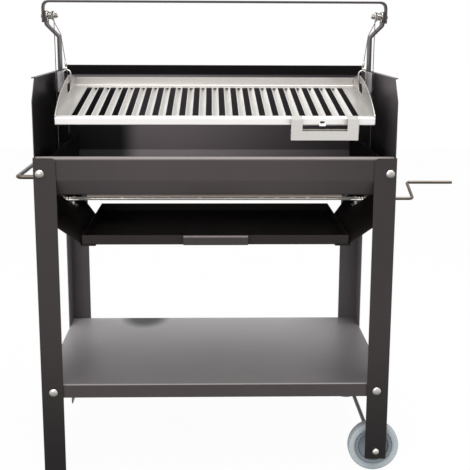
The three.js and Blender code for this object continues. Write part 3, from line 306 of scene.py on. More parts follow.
# %% Worn and rounded edges
edge_wear, wear_in, wear_out = new_group(
    "edge_wear", [("Width", 0.002), ("Amount", 0.5)], [("Edge", "Float"), ("Normal", "Vector")])
rounding = edge_wear.nodes.new("ShaderNodeBevel")
rounding.samples = 6
edge_wear.links.new(wear_in.outputs["Width"], rounding.inputs["Radius"])
geometry = edge_wear.nodes.new("ShaderNodeNewGeometry")
facing = edge_wear.nodes.new("ShaderNodeVectorMath")
facing.operation = "DOT_PRODUCT"
edge_wear.links.new(rounding.outputs[0], facing.inputs[0])
edge_wear.links.new(geometry.outputs["Normal"], facing.inputs[1])
turned = maths(edge_wear, "SUBTRACT", 1.0, facing.outputs["Value"])
patchy = noise(edge_wear, stretched(edge_wear, (1, 1, 1)), scale=60.0, detail=5.0)
rubbed = maths(edge_wear, "MULTIPLY", turned, maths(edge_wear, "MULTIPLY", patchy, 4.0))
worn = edge_wear.nodes.new("ShaderNodeClamp")
edge_wear.links.new(maths(edge_wear, "MULTIPLY", rubbed, wear_in.outputs["Amount"]), worn.inputs[0])
edge_wear.links.new(worn.outputs[0], wear_out.inputs["Edge"])
edge_wear.links.new(rounding.outputs[0], wear_out.inputs["Normal"])
print("shared effect:", edge_wear.name)

# %% [markdown]
# ### Which way a face looks
# Painted light and shade differ from face to face of one sheet: painted shade inside, painted
# light on some faces that look up. The sheets carry one solid and one finish each, so a shared
# effect tells from a face's place and direction whether it looks inwards, up, down or to the
# left, and how high and how far back it is.


# %% Which way a face looks
def linear_mask(tree, value, start, end):
    """0 where the value is at start, 1 where it is at end, and between them in between."""
    node = tree.nodes.new("ShaderNodeMapRange")
    node.interpolation_type = "SMOOTHSTEP"
    node.inputs["From Min"].default_value = start
    node.inputs["From Max"].default_value = end
    tree.links.new(value, node.inputs["Value"])
    return node.outputs[0]


face_sides, sides_in, sides_out = new_group(
    "face_sides", [("From Height", 0.6)],
    [(label, "Float") for label in ("Inward", "Up", "Lit", "Left", "Height", "Depth", "Across")])
geometry = face_sides.nodes.new("ShaderNodeNewGeometry")
normal_parts = face_sides.nodes.new("ShaderNodeSeparateXYZ")
place_parts = face_sides.nodes.new("ShaderNodeSeparateXYZ")
face_sides.links.new(geometry.outputs["Normal"], normal_parts.inputs[0])
face_sides.links.new(geometry.outputs["Position"], place_parts.inputs[0])
from_middle = maths(face_sides, "ADD", place_parts.outputs["X"], MIDDLE_OF_BOX * MM)
along_x = maths(face_sides, "MULTIPLY", from_middle, normal_parts.outputs["X"])
along_y = maths(face_sides, "MULTIPLY", place_parts.outputs["Y"], normal_parts.outputs["Y"])
outward = maths(face_sides, "ADD", along_x, along_y)
inward = linear_mask(face_sides, maths(face_sides, "MULTIPLY", outward, -1.0), 0.08, 0.14)
high = maths(face_sides, "GREATER_THAN", place_parts.outputs["Z"], sides_in.outputs["From Height"])
face_sides.links.new(maths(face_sides, "MULTIPLY", inward, high), sides_out.inputs["Inward"])
up = linear_mask(face_sides, normal_parts.outputs["Z"], 0.4, 0.9)
face_sides.links.new(up, sides_out.inputs["Up"])
leftward = maths(face_sides, "MULTIPLY", normal_parts.outputs["X"], -1.0)
face_sides.links.new(linear_mask(face_sides, leftward, -0.5, 0.5), sides_out.inputs["Left"])
lit = linear_mask(face_sides, normal_parts.outputs["Z"], -0.7, 0.8)
face_sides.links.new(lit, sides_out.inputs["Lit"])
face_sides.links.new(from_middle, sides_out.inputs["Across"])
face_sides.links.new(place_parts.outputs["Z"], sides_out.inputs["Height"])
face_sides.links.new(place_parts.outputs["Y"], sides_out.inputs["Depth"])
print("shared effect:", face_sides.name)

# %% [markdown]
# ## The finishes
# Each finish is one Principled shader. Its even values are typed into its sockets, and the groups
# only add what changes over the surface: where it is dusty, scratched or rubbed, and where light
# and shade are painted on.


# %% A helper for finishes
def linear(red, green, blue):
    """A colour as a paint chart gives it (0 to 255), as the light values that shaders use."""
    def channel(v):
        v /= 255
        return v / 12.92 if v <= 0.04045 else ((v + 0.055) / 1.055) ** 2.4
    return (channel(red), channel(green), channel(blue), 1.0)


def new_finish(name, metallic=0.0, specular=0.5, anisotropic=0.0):
    """A material with one Principled shader, and the values that are even all over it."""
    material = bpy.data.materials.new(name)
    material.use_nodes = True
    tree = material.node_tree
    shader = tree.nodes["Principled BSDF"]
    shader.inputs["Metallic"].default_value = metallic
    shader.inputs["Specular IOR Level"].default_value = specular
    shader.inputs["Anisotropic"].default_value = anisotropic
    return material, tree, shader


def place_group(tree, group, **dials):
    """A shared effect placed in a material, with its dials turned to the values given."""
    node = tree.nodes.new("ShaderNodeGroup")
    node.node_tree = group
    for label, value in dials.items():
        node.inputs[label.replace("_", " ")].default_value = value
    return node


def blend_colours(tree, factor, first, second):
    """The first colour where the mask is 0, the second where it is 1; each a socket or a colour."""
    mix = tree.nodes.new("ShaderNodeMix")
    mix.data_type = "RGBA"
    tree.links.new(factor, mix.inputs[0])
    for socket, value in ((mix.inputs[6], first), (mix.inputs[7], second)):
        if isinstance(value, tuple):
            socket.default_value = value
        else:
            tree.links.new(value, socket)
    return mix.outputs[2]


def span(tree, value, low, high):
    """Spreads a mask from 0..1 to low..high."""
    node = tree.nodes.new("ShaderNodeMapRange")
    node.inputs["To Min"].default_value = low
    node.inputs["To Max"].default_value = high
    tree.links.new(value, node.inputs["Value"])
    return node.outputs[0]


def bump(tree, shader, height, strength, distance, normal=None):
    """Feeds a height into the shader's Normal, on top of a rounded normal if one is given."""
    node = tree.nodes.new("ShaderNodeBump")
    node.inputs["Strength"].default_value = strength
    node.inputs["Distance"].default_value = distance
    tree.links.new(height, node.inputs["Height"])
    if normal is not None:
        tree.links.new(normal, node.inputs["Normal"])
    tree.links.new(node.outputs[0], shader.inputs["Normal"])


# %% [markdown]
# ### Powder-coated sheet
# The stand and the firebox are sheet steel in a dark baked powder coat. It is neither black nor
# even: it has a fine orange-peel skin, dust clings to it in soft streaks, and it is rubbed to a
# lighter tone along its edges. Dusty places are also duller, so the dust drives the roughness too.

# %% Powder-coated sheet
EDGE_ROUNDING = 0.0016
DUST_DULLS = 0.5


def powder_coat(name, colour, dust_colour, bare_colour, roughness, dust, wear, pebble=900.0,
                depth=0.00004, specular=0.3, painted_light_colour=None):
    """Painted sheet. painted_light_colour gets the tree and the paint so far, and returns it
    with light and shade painted on.
    """
    material, tree, shader = new_finish(name, specular=specular)
    skin = place_group(tree, powder_skin, Pebble_Size=pebble, Dust=dust)
    edges = place_group(tree, edge_wear, Width=EDGE_ROUNDING, Amount=wear)
    dusty = blend_colours(tree, skin.outputs["Dust Mask"], colour, dust_colour)
    rubbed = blend_colours(tree, edges.outputs["Edge"], dusty, bare_colour)
    if painted_light_colour:
        rubbed = painted_light_colour(tree, rubbed)
    tree.links.new(rubbed, shader.inputs["Base Color"])
    dulled = span(tree, skin.outputs["Dust Mask"], roughness, roughness + DUST_DULLS)
    tree.links.new(dulled, shader.inputs["Roughness"])
    bump(tree, shader, skin.outputs["Height"], 0.35, depth, edges.outputs["Normal"])
    print("finish:", name)
    return material


# %% [markdown]
# ### Second colours of the paint: painted light and shade
# Inside, the walls stand in their own shade; the shelf shines where it faces the light, and the
# top of the rim catches it. A lamp for each of these would be a great deal of work and would
# light the rest as well. So each sheet may have a second colour of painted light and shade,
# chosen by where a face is and where it looks. Distances are in metres: heights from the
# ground, depths and widths from the middle of the grill.

# %% The walls of the firebox
HEM_BOTTOM = 0.903
LIP_TOP, LIP_EDGE = 0.592, 0.584
# The lip's lighter colour and its glow are a painted highlight, and the faint glow of the card, on the
# lip and on the shaft, is painted light.
LIP_HIGHLIGHT, LIP_GLOW = linear(236, 222, 214), linear(236, 218, 208)
CARD_GLOW = 0.12


def side_shade(tree, paint):
    """Painted shade: the inner faces are nearly black, with painted light towards the front and, on
    the right one, towards the top. Outside, the top edge is painted darker.
    """
    sides = place_group(tree, face_sides)
    front = linear_mask(tree, sides.outputs["Depth"], -0.09, -0.22)
    high = linear_mask(tree, sides.outputs["Height"], 0.8, 0.92)
    left_wall = blend_colours(tree, front, linear(20, 18, 19), linear(24, 22, 24))
    right_wall = blend_colours(tree, front, linear(26, 24, 25), linear(64, 60, 62))
    right_wall = blend_colours(tree, high, right_wall, linear(96, 90, 92))
    walls = blend_colours(tree, sides.outputs["Left"], left_wall, right_wall)
    # The hem on the outside is painted darker: painted shade.
    hem = linear_mask(tree, sides.outputs["Height"], HEM_BOTTOM, 0.908)
    outside = blend_colours(tree, hem, paint, linear(26, 23, 24))
    return blend_colours(tree, sides.outputs["Inward"], outside, walls)


def rear_shade(tree, paint):
    """Painted light and shade inside: the wall is painted black at its left, with a painted reflection
    lighter from there on, and painted shade behind the grate and along its top edge.

    The lip under it catches the light of a low white card: its lighter colour and its own faint
    glow are painted light that stand for it."""
    sides = place_group(tree, face_sides, From_Height=0.6)
    fading = linear_mask(tree, sides.outputs["Across"], -0.2, 0.36)
    lit = blend_colours(tree, fading, linear(122, 114, 118), linear(62, 57, 60))
    above_low = linear_mask(tree, sides.outputs["Height"], 0.775, 0.795)
    below_hem = linear_mask(tree, sides.outputs["Height"], 0.888, 0.876)
    shade_behind_grate = maths(tree, "MULTIPLY", above_low, below_hem)
    lit = blend_colours(tree, maths(tree, "MULTIPLY", shade_behind_grate, 0.9), lit, linear(52, 49, 51))
    black_end = linear_mask(tree, sides.outputs["Across"], -0.2, -0.26)
    low = linear_mask(tree, sides.outputs["Height"], 0.87, 0.86)
    wall = blend_colours(tree, maths(tree, "MULTIPLY", black_end, low), lit, linear(24, 24, 26))
    shaded_band = linear_mask(tree, sides.outputs["Height"], HEM_BOTTOM, 0.906)
    wall = blend_colours(tree, shaded_band, wall, linear(32, 30, 32))
    low_lip = linear_mask(tree, sides.outputs["Height"], LIP_TOP, LIP_EDGE)
    low_sides = place_group(tree, face_sides, From_Height=0.5)
    seen_from_front = maths(tree, "MAXIMUM", sides.outputs["Up"], low_sides.outputs["Inward"])
    lip = maths(tree, "MULTIPLY", low_lip, seen_from_front)
    shader = tree.nodes["Principled BSDF"]
    shader.inputs["Emission Strength"].default_value = CARD_GLOW
    glow = blend_colours(tree, lip, linear(0, 0, 0), LIP_GLOW)
    tree.links.new(glow, shader.inputs["Emission Color"])
    outside = blend_colours(tree, lip, paint, LIP_HIGHLIGHT)
    return blend_colours(tree, sides.outputs["Inward"], outside, wall)


print("second colours: side panels, rear panel")


# %% The rim, the tray and its handle
def rim_shade(tree, paint):
    """Painted highlight along the top of the rim, and painted shade towards both ends of the panel."""
    sides = place_group(tree, face_sides)
    high = linear_mask(tree, sides.outputs["Height"], 0.7435, 0.7495)
    ends = maths(
        tree, "MAXIMUM", linear_mask(tree, sides.outputs["Across"], 0.1, 0.38),
        linear_mask(tree, sides.outputs["Across"], -0.15, -0.38))
    paint = blend_colours(tree, maths(tree, "MULTIPLY", ends, 0.55), paint, linear(40, 35, 35))
    return blend_colours(tree, maths(tree, "MULTIPLY", high, 0.62), paint, linear(168, 160, 156))


def tray_shade(tree, paint):
    """Painted shade on the inside of the tray and on its faces that look up."""
    sides = place_group(tree, face_sides, From_Height=0.5)
    painted_shade_inside = maths(tree, "MAXIMUM", sides.outputs["Inward"], sides.outputs["Up"])
    return blend_colours(tree, painted_shade_inside, paint, linear(33, 29, 27))


def handle_shade(tree, paint):
    """The top of the tray's handle is lighter: a painted highlight."""
    sides = place_group(tree, face_sides)
    return blend_colours(tree, sides.outputs["Up"], paint, linear(136, 128, 126))


print("second colours: front panel, ash tray, tray handle")

# %% The legs and the shelf
# A painted shadow on the top of the shelf, in front of its rear edge.
DIM_PATCH_X, DIM_PATCH_DEPTH = -0.196, 0.262
DIM_PATCH_HALF_WIDTH, DIM_PATCH_HALF_DEPTH = 0.075, 0.11


def leg_shade(tree, paint):
    """Painted shade makes the feet darker, and painted light makes the rear legs a little lighter than
    the front ones.
    """
    sides = place_group(tree, face_sides)
    foot = linear_mask(tree, sides.outputs["Height"], 0.42, 0.0)
    rear = linear_mask(tree, sides.outputs["Depth"], -0.02, 0.02)
    front_leg = blend_colours(tree, foot, paint, linear(16, 13, 12))
    return blend_colours(tree, rear, front_leg, linear(102, 97, 100))


def shelf_shade(tree, paint):
    """Painted reflection on the top, stronger towards the back, with a painted shadow in front of its
    rear edge, painted shade towards the right end and a painted highlight along the front bend.
    """
    sides = place_group(tree, face_sides, From_Height=0.0)
    back = linear_mask(tree, sides.outputs["Depth"], -0.26, 0.26)
    top = blend_colours(tree, back, linear(100, 95, 96), linear(214, 209, 212))
    aside = maths(tree, "ADD", sides.outputs["Across"], -DIM_PATCH_X)
    aside = maths(tree, "DIVIDE", aside, DIM_PATCH_HALF_WIDTH)
    behind = maths(tree, "ADD", sides.outputs["Depth"], -DIM_PATCH_DEPTH)
    behind = maths(tree, "DIVIDE", behind, DIM_PATCH_HALF_DEPTH)
    away = maths(
        tree, "ADD", maths(tree, "MULTIPLY", aside, aside), maths(tree, "MULTIPLY", behind, behind))
    top = blend_colours(tree, linear_mask(tree, away, 1.0, 0.1), top, linear(10, 9, 10))
    shaded_right_end = linear_mask(tree, sides.outputs["Across"], 0.15, 0.42)
    top = blend_colours(tree, maths(tree, "MULTIPLY", shaded_right_end, 0.8), top, linear(70, 66, 68))
    fold_highlight = linear_mask(tree, sides.outputs["Depth"], -0.257, -0.26)
    top = blend_colours(tree, maths(tree, "MULTIPLY", fold_highlight, 0.7), top, linear(190, 184, 184))
    return blend_colours(tree, sides.outputs["Up"], paint, top)


print("second colours: legs, shelf")

# %% The paints
paint_colour, dust_colour, rubbed_colour = linear(60, 53, 54), linear(84, 77, 75), linear(96, 88, 86)
dark_paint = powder_coat(
    "dark_paint", paint_colour, dust_colour, rubbed_colour, roughness=0.4, dust=0.3, wear=0.3)
leg_paint = powder_coat(
    "leg_paint", linear(50, 44, 44), linear(66, 60, 59), rubbed_colour, roughness=0.4, dust=0.25,
    wear=0.25, specular=0.24, painted_light_colour=leg_shade)
shelf_paint = powder_coat(
    "shelf_paint", paint_colour, dust_colour, rubbed_colour, roughness=0.4, dust=0.3, wear=0.3,
    painted_light_colour=shelf_shade)
handle_paint = powder_coat(
    "handle_paint", linear(46, 41, 41), dust_colour, rubbed_colour, roughness=0.4, dust=0.3,
    wear=0.3, painted_light_colour=handle_shade)
side_paint = powder_coat(
    "side_paint", paint_colour, dust_colour, rubbed_colour, roughness=0.3, dust=0.15, wear=0.3,
    specular=0.16, painted_light_colour=side_shade)
rear_paint = powder_coat(
    "rear_paint", linear(58, 52, 56), dust_colour, rubbed_colour, roughness=0.36, dust=0.2,
    wear=0.3, specular=0.16, painted_light_colour=rear_shade)
rim_paint = powder_coat(
    "rim_paint", paint_colour, dust_colour, rubbed_colour, roughness=0.38, dust=0.3, wear=0.4,
    painted_light_colour=rim_shade)
tray_paint = powder_coat(
    "tray_paint", linear(40, 34, 34), linear(56, 50, 48), rubbed_colour, roughness=0.42, dust=0.2,
    wear=0.3, specular=0.14, painted_light_colour=tray_shade)

# %% Sooty, shaded and plain sheet
SOOT_PEBBLE, SOOT_DEPTH = 600.0, 0.00008
firebox_paint = powder_coat(
    "firebox_paint", linear(30, 26, 25), linear(46, 41, 39), linear(50, 45, 42), roughness=0.55,
    dust=0.4, wear=0.2, pebble=SOOT_PEBBLE, depth=SOOT_DEPTH, specular=0.12)
# The end walls are painted nearly black: painted shade.
shaded_end_wall_paint = powder_coat(
    "shaded_end_wall_paint", linear(14, 12, 12), linear(26, 23, 22), linear(34, 30, 29), roughness=0.6,
    dust=0.3, wear=0.2, pebble=SOOT_PEBBLE, depth=SOOT_DEPTH, specular=0.08)
bracket_steel = powder_coat(
    "bracket_steel", linear(178, 176, 180), linear(150, 147, 146), linear(206, 204, 206),
    roughness=0.4, dust=0.3, wear=0.3)

# %% [markdown]
# ### Brushed stainless steel
# The grate is folded from brushed sheet. Its bars run from front to back and so do their
# scratches; on the front channel and the cup they run across. Scratches this fine can't be
# modelled, so a long drawn-out noise gives them to the colour, the roughness and the bump. A bar
# has two slanted sides, and the one that looks to the right is painted a little darker: painted
# shade. The rear rail, the grate's ends and the cup are shaded copies of the same steel, painted
# darker.

# %% Brushed stainless steel
RAIL_DEPTHS = (0.096, 0.104)


def brushed_steel(name, colour, shade, group, darker=None, rail=None):
    """Brushed steel; darker is painted shade on faces that look to the right, rail is painted shade on
    the grate's rear end.
    """
    material, tree, shader = new_finish(name, metallic=1.0, anisotropic=0.3)
    lines = place_group(tree, group, Depth=1.0)
    edges = place_group(tree, edge_wear, Width=0.0008, Amount=0.2)
    streaked = blend_colours(tree, lines.outputs["Streak"], shade, colour)
    if darker is not None:
        sides = place_group(tree, face_sides)
        streaked = blend_colours(tree, sides.outputs["Left"], darker, streaked)
        if rail is not None:
            behind = linear_mask(tree, sides.outputs["Depth"], *RAIL_DEPTHS)
            streaked = blend_colours(tree, behind, streaked, rail)
    tree.links.new(streaked, shader.inputs["Base Color"])
    tree.links.new(span(tree, lines.outputs["Streak"], 0.3, 0.5), shader.inputs["Roughness"])
    bump(tree, shader, lines.outputs["Height"], 0.25, 0.00005, edges.outputs["Normal"])
    print("finish:", name)
    return material


# The bars get painted shade on their sides that look right and on the rear rail; the ends and the cup
# are shaded copies of the steel, painted darker.
stainless_bars = brushed_steel(
    "stainless_bars", linear(255, 254, 252), linear(226, 224, 220), brushed_back,
    darker=linear(196, 193, 189), rail=linear(208, 204, 201))
shaded_stainless_ends = brushed_steel(
    "shaded_stainless_ends", linear(210, 207, 203), linear(178, 175, 171), brushed_back)
shaded_stainless_cup = brushed_steel(
    "shaded_stainless_cup", linear(226, 223, 219), linear(200, 197, 193), brushed_across)
stainless_folds = brushed_steel(
    "stainless_folds", linear(254, 252, 250), linear(236, 233, 230), brushed_across)

# %% [markdown]
# ### Zinc plate
# Bolts, pulleys, rods and rings are zinc-plated steel: metal with a fine cloudy grain, in which
# its tone and its shine change a little. One recipe serves them all, with its own values for
# bright bolts, for darker bent rods and for the blackened axle. The darker rods and the brighter
# shaft are shaded and lit copies of one plate: painted shade and painted light. Faces that look
# down may also get painted shade.

# %% Zinc plate
PLATE_GRAIN = 1500.0


def plated(name, colour, shade, low, high, under=None, glow=0.0):
    """Plated steel; under is painted shade on faces that look down, glow is painted light that stands
    for what a low white card adds.
    """
    material, tree, shader = new_finish(name, metallic=1.0)
    shader.inputs["Emission Color"].default_value = colour
    shader.inputs["Emission Strength"].default_value = glow
    skin = place_group(tree, powder_skin, Pebble_Size=PLATE_GRAIN, Dust=1.0)
    edges = place_group(tree, edge_wear, Width=0.0006, Amount=0.2)
    clouded = blend_colours(tree, skin.outputs["Dust Mask"], colour, shade)
    if under is not None:
        sides = place_group(tree, face_sides)
        clouded = blend_colours(tree, sides.outputs["Lit"], under, clouded)
    tree.links.new(clouded, shader.inputs["Base Color"])
    tree.links.new(span(tree, skin.outputs["Height"], low, high), shader.inputs["Roughness"])
    bump(tree, shader, skin.outputs["Height"], 0.2, 0.00003, edges.outputs["Normal"])
    print("finish:", name)
    return material


plated_steel = plated(
    "plated_steel", linear(236, 234, 230), linear(176, 172, 166), low=0.16, high=0.4)
# Bolts and rings: bright plate, with painted shade on faces that look down.
bolt_steel = plated(
    "bolt_steel", linear(246, 243, 238), linear(206, 200, 192), low=0.2, high=0.4,
    under=linear(58, 52, 48))
# The bent rods: a shaded copy of the plate, painted darker, and darker still where they look down.
shaded_rod_steel = plated(
    "shaded_rod_steel", linear(124, 114, 105), linear(94, 86, 79), low=0.2, high=0.4,
    under=linear(30, 26, 24))
# The shaft: a lit copy of the plate with a faint glow, which is painted light.
lit_shaft_steel = plated(
    "lit_shaft_steel", linear(255, 250, 242), linear(236, 226, 216), low=0.06, high=0.18,
    glow=CARD_GLOW)
black_zinc = plated("black_zinc", linear(64, 60, 58), linear(110, 104, 98), low=0.25, high=0.5)

# %% [markdown]
# ### Rubber and moulded plastic
# The tyres and hubs are moulded in grey. Moulded surfaces have a fine even texture and a soft
# shine that varies a little, so one recipe with two sets of values does for both.


# %% Rubber and moulded plastic
def moulded(name, colour, shade, low, high, grain, depth):
    """A moulded surface: mottled between two colours, and between two roughnesses."""
    material, tree, shader = new_finish(name, specular=0.4)
    skin = place_group(tree, powder_skin, Pebble_Size=grain, Dust=1.4)
    mottled = blend_colours(tree, skin.outputs["Dust Mask"], colour, shade)
    tree.links.new(mottled, shader.inputs["Base Color"])
    tree.links.new(span(tree, skin.outputs["Height"], low, high), shader.inputs["Roughness"])
    bump(tree, shader, skin.outputs["Height"], 0.4, depth)
    print("finish:", name)
    return material


tyre_rubber = moulded(
    "tyre_rubber", linear(154, 164, 170), linear(196, 202, 205), low=0.5, high=0.8, grain=1400.0,
    depth=0.0001)
hub_plastic = moulded(
    "hub_plastic", linear(138, 148, 155), linear(100, 109, 116), low=0.36, high=0.6, grain=1100.0,
    depth=0.00005)

# %% [markdown]
# ### Wire rope
# The cables are wire rope: six strands laid in a spiral. Seen closely, that gives slanting dark
# grooves. The tubes below carry a map (around, along), and a wave across that map draws the
# strands, which costs far fewer faces than modelling each strand. The dark bands of the wave are
# painted shade in the grooves.

# %% Wire rope
STRAND_WAVE_SCALE = 1.6
wire_rope, tree, shader = new_finish("wire_rope", metallic=1.0)
along = tree.nodes.new("ShaderNodeUVMap")
along.uv_map = "lay"
lay = tree.nodes.new("ShaderNodeTexWave")
lay.wave_type = "BANDS"
lay.bands_direction = "DIAGONAL"
lay.inputs["Scale"].default_value = STRAND_WAVE_SCALE
lay.inputs["Distortion"].default_value = 0.4
tree.links.new(along.outputs[0], lay.inputs["Vector"])
skin = place_group(tree, powder_skin, Pebble_Size=2000.0, Dust=1.0)
# The dark bands are painted shade in the grooves between the strands.
strands = blend_colours(tree, lay.outputs["Fac"], linear(62, 58, 54), linear(160, 155, 148))
tree.links.new(strands, shader.inputs["Base Color"])
tree.links.new(span(tree, skin.outputs["Height"], 0.3, 0.5), shader.inputs["Roughness"])
bump(tree, shader, lay.outputs["Fac"], 0.8, 0.0003)
print("finish: wire_rope")

# %% [markdown]
# ## Which node takes which finish
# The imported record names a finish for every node. Nodes whose shape is already right, which is
# all the sheet metal, keep their solid and only get their finish here.

# %% Dress the nodes
finishes = {
    "dark_paint": dark_paint, "firebox_paint": firebox_paint, "bracket_steel": bracket_steel,
    "stainless": stainless_folds, "plated_steel": plated_steel, "cable_steel": wire_rope,
    "tyre": tyre_rubber, "hub": hub_plastic,
}
record_slot = {row["node"]: row["material_slot"] for row in frame["record"]["subparts"]}


def dress(piece, finish):
    """Gives a new piece its one finish."""
    piece.data.materials.clear()
    piece.data.materials.append(finish)


own_finish = {
    "grate_rack": stainless_bars, "right_side_panel": side_paint, "left_side_panel": side_paint,
    "rear_panel": rear_paint, "front_panel": rim_paint, "ash_tray": tray_paint,
    "ash_tray_handle": handle_paint, "bottom_shelf": shelf_paint, "grease_cup": shaded_stainless_cup,
}
for hand, _ in HANDS:
    own_finish[f"{hand}_grate_end"] = shaded_stainless_ends
    own_finish[f"{hand}_end_wall"] = shaded_end_wall_paint
    own_finish[f"front_{hand}_leg"] = leg_paint
    own_finish[f"rear_{hand}_leg"] = leg_paint
for name, node in frame["nodes"].items():
    finish = own_finish.get(name, finishes[record_slot[name]])
    if not node.material_slots:
        node.data.materials.append(finish)
    for seat in node.material_slots:
        seat.material = finish
print("dressed", len(frame["nodes"]), "nodes")

# %% [markdown]
# ## Turned pieces
# Wheels, bolt heads, nuts and pulleys are bodies of revolution. A lathe works from one half
# section: the outline is spun about an axis in fine steps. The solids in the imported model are
# coarse, so each is swapped for a smooth one of the same size.


# %% A lathe
def part_turn(side, other, i, steps):
    """The direction after i of the steps of a full turn from side towards other."""
    angle = 2 * math.pi * i / steps
    return side * math.cos(angle) + other * math.sin(angle)


def spun(section, axis, centre, steps=64):
    """Spins (along, radius) points in millimetres about an axis through centre."""
    axis = Vector(axis).normalized()
    side = axis.orthogonal().normalized()
    other = axis.cross(side)
    shape = bmesh.new()
    rings = []
    for along_axis, radius in section:
        middle = centre + axis * along_axis * MM
        if radius < 1e-6:
            rings.append([shape.verts.new(middle)])
            continue
        rings.append([
            shape.verts.new(middle + part_turn(side, other, i, steps) * radius * MM)
            for i in range(steps)])
    for near, far in zip(rings, rings[1:]):
        for i in range(steps):
            j = i + 1
            corners = (near[i % len(near)], near[j % len(near)], far[j % len(far)], far[i % len(far)])
            unique = list(dict.fromkeys(corners))
            if len(unique) > 2:
                shape.faces.new(unique)
    return shape


# %% A bar with flats, for nuts
HEXAGON = 6
CORNER_SHARE = 0.9


def prism(sides, radius, low, high, axis, centre, chamfer=0.8):
    """A bar with flat sides between two heights, its ends' corners turned off like a nut's."""
    axis = Vector(axis).normalized()
    side = axis.orthogonal().normalized()
    other = axis.cross(side)
    shape = bmesh.new()
    rings = []
    for height, share in (
            (low, CORNER_SHARE), (low + chamfer, 1.0), (high - chamfer, 1.0), (high, CORNER_SHARE)):
        rings.append([
            shape.verts.new(
                centre + axis * height * MM + part_turn(side, other, i, sides) * radius * share * MM)
            for i in range(sides)])
    for near, far in zip(rings, rings[1:]):
        for i in range(sides):
            shape.faces.new((near[i], near[(i + 1) % sides], far[(i + 1) % sides], far[i]))
    shape.faces.new(rings[0])
    shape.faces.new(rings[-1])
    return shape


# %% From shapes to a piece
def merged(shapes):
    """Several bmeshes as one."""
    whole = bmesh.new()
    for shape in shapes:
        bmesh.ops.recalc_face_normals(shape, faces=shape.faces)
        part = bpy.data.meshes.new("part")
        shape.to_mesh(part)
        shape.free()
        whole.from_mesh(part)
        bpy.data.meshes.remove(part)
    return whole


def finished(name, shapes, body, finish, replaced, crease=30.0):
    """A piece from bmeshes: smooth but for sharp edges, dressed, and riding on its body if any."""
    whole = merged(shapes)
    mesh = bpy.data.meshes.new(name)
    whole.to_mesh(mesh)
    whole.free()
    piece = bpy.data.objects.new(name, mesh)
    bpy.context.scene.collection.objects.link(piece)
    mesh.polygons.foreach_set("use_smooth", [True] * len(mesh.polygons))
    mesh.set_sharp_from_angle(angle=math.radians(crease))
    dress(piece, finish)
    if body:
        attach(piece, body)
    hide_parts(*replaced)
    return piece


# %% [markdown]
# ### The wheels
# A moulded wheel: a tyre with a shoulder and a flat tread, on a hub with a deep rim, a thin web
# and a thick boss. The photograph shows two rings on its face, where the hub's rim meets the
# tyre and where the tyre's shoulder starts.

# %% The wheels
WHEEL_INSET = 35.0
WHEEL_STEPS = 96
tyre_section = [
    (-10, 44), (-12.2, 44.8), (-14.3, 47), (-15, 49.6), (-14.6, 50.6), (-14.6, 52.4), (-15, 53.4),
    (-14.6, 55.6), (-12.4, 58.6), (-8, 59.7), (-3, 60), (3, 60), (8, 59.7), (12.4, 58.6),
    (14.6, 55.6), (15, 53.4), (14.6, 52.4), (14.6, 50.6), (15, 49.6), (14.3, 47), (12.2, 44.8),
    (10, 44), (-10, 44),
]
hub_section = [
    (-31.4, 5.6), (-31.4, 8.4), (-30.8, 9), (-13, 9), (-13, 16.2), (-12.2, 17), (-6, 17.8),
    (-4.2, 20), (-4, 22), (-4, 33), (-5, 35.2), (-9, 36), (-10, 36.6), (-10, 43), (-9.4, 43.7),
    (9.4, 43.7), (10, 43), (10, 36.6), (9, 36), (5, 35.2), (4, 33), (4, 22), (4.2, 20),
    (6, 17.8), (12.2, 17), (13, 16.2), (13, 5.6), (-31.4, 5.6),
]
for end, depth, way in front_and_rear(WHEEL_INSET):
    centre = at(WHEEL_X, depth, WHEEL_Z)
    finished(f"{end}_tyre_smooth", [spun(tyre_section, (0, way, 0), centre, WHEEL_STEPS)],
             f"{end}_wheel", tyre_rubber, [f"{end}_tyre"])
    finished(f"{end}_hub_smooth", [spun(hub_section, (0, way, 0), centre, WHEEL_STEPS)],
             f"{end}_wheel", hub_plastic, [f"{end}_wheel_hub"])
print("wheels: 2 tyres, 2 hubs")

# %% [markdown]
# ### The axle
# One blackened rod carries both wheels. A collar inside each wheel and a domed nut outside it
# keep the wheel in its place. All are round, so the lathe turns them from their outlines.

# %% The axle, its collars and its domed nuts
COLLAR_INSET = 48.5
TO_REAR = (0, 1, 0)
axle_section = [(-6, 0), (-6, 4.4), (-5.4, 5), (535.4, 5), (536, 4.4), (536, 0)]
axle = spun(axle_section, TO_REAR, at(WHEEL_X, 0, WHEEL_Z), 32)
axle_collar = [(0, 4.9), (0, 7.4), (0.6, 8), (7.4, 8), (8, 7.4), (8, 4.9)]
collars = [
    spun(axle_collar, (0, way, 0), at(WHEEL_X, depth, WHEEL_Z), 32)
    for _, depth, way in front_and_rear(COLLAR_INSET)]
finished("axle_smooth", [axle, *collars], "frame", black_zinc, ["wheel_axle"])
dome = [(0, 5.6), (0, 7.4), (0.5, 8), (6.6, 8), (8.6, 7.5), (10.4, 6), (11.5, 4), (12, 0)]
for end, depth, way in front_and_rear(-SEAT_GAP):
    finished(f"{end}_dome_nut", [spun(dome, (0, -way, 0), at(WHEEL_X, depth, WHEEL_Z), 32)],
             "frame", bolt_steel, [f"{end}_axle_nut"])
print("axle, 2 collars and 2 domed nuts")

# %% [markdown]
# ### Carriage bolts
# Four bolts hold the firebox to the legs and four hold the shelf. A carriage bolt has a low
# mushroom head that nothing can grip, so only its nut, on the inside, is turned. The light slides
# round the dome, so it needs many steps.

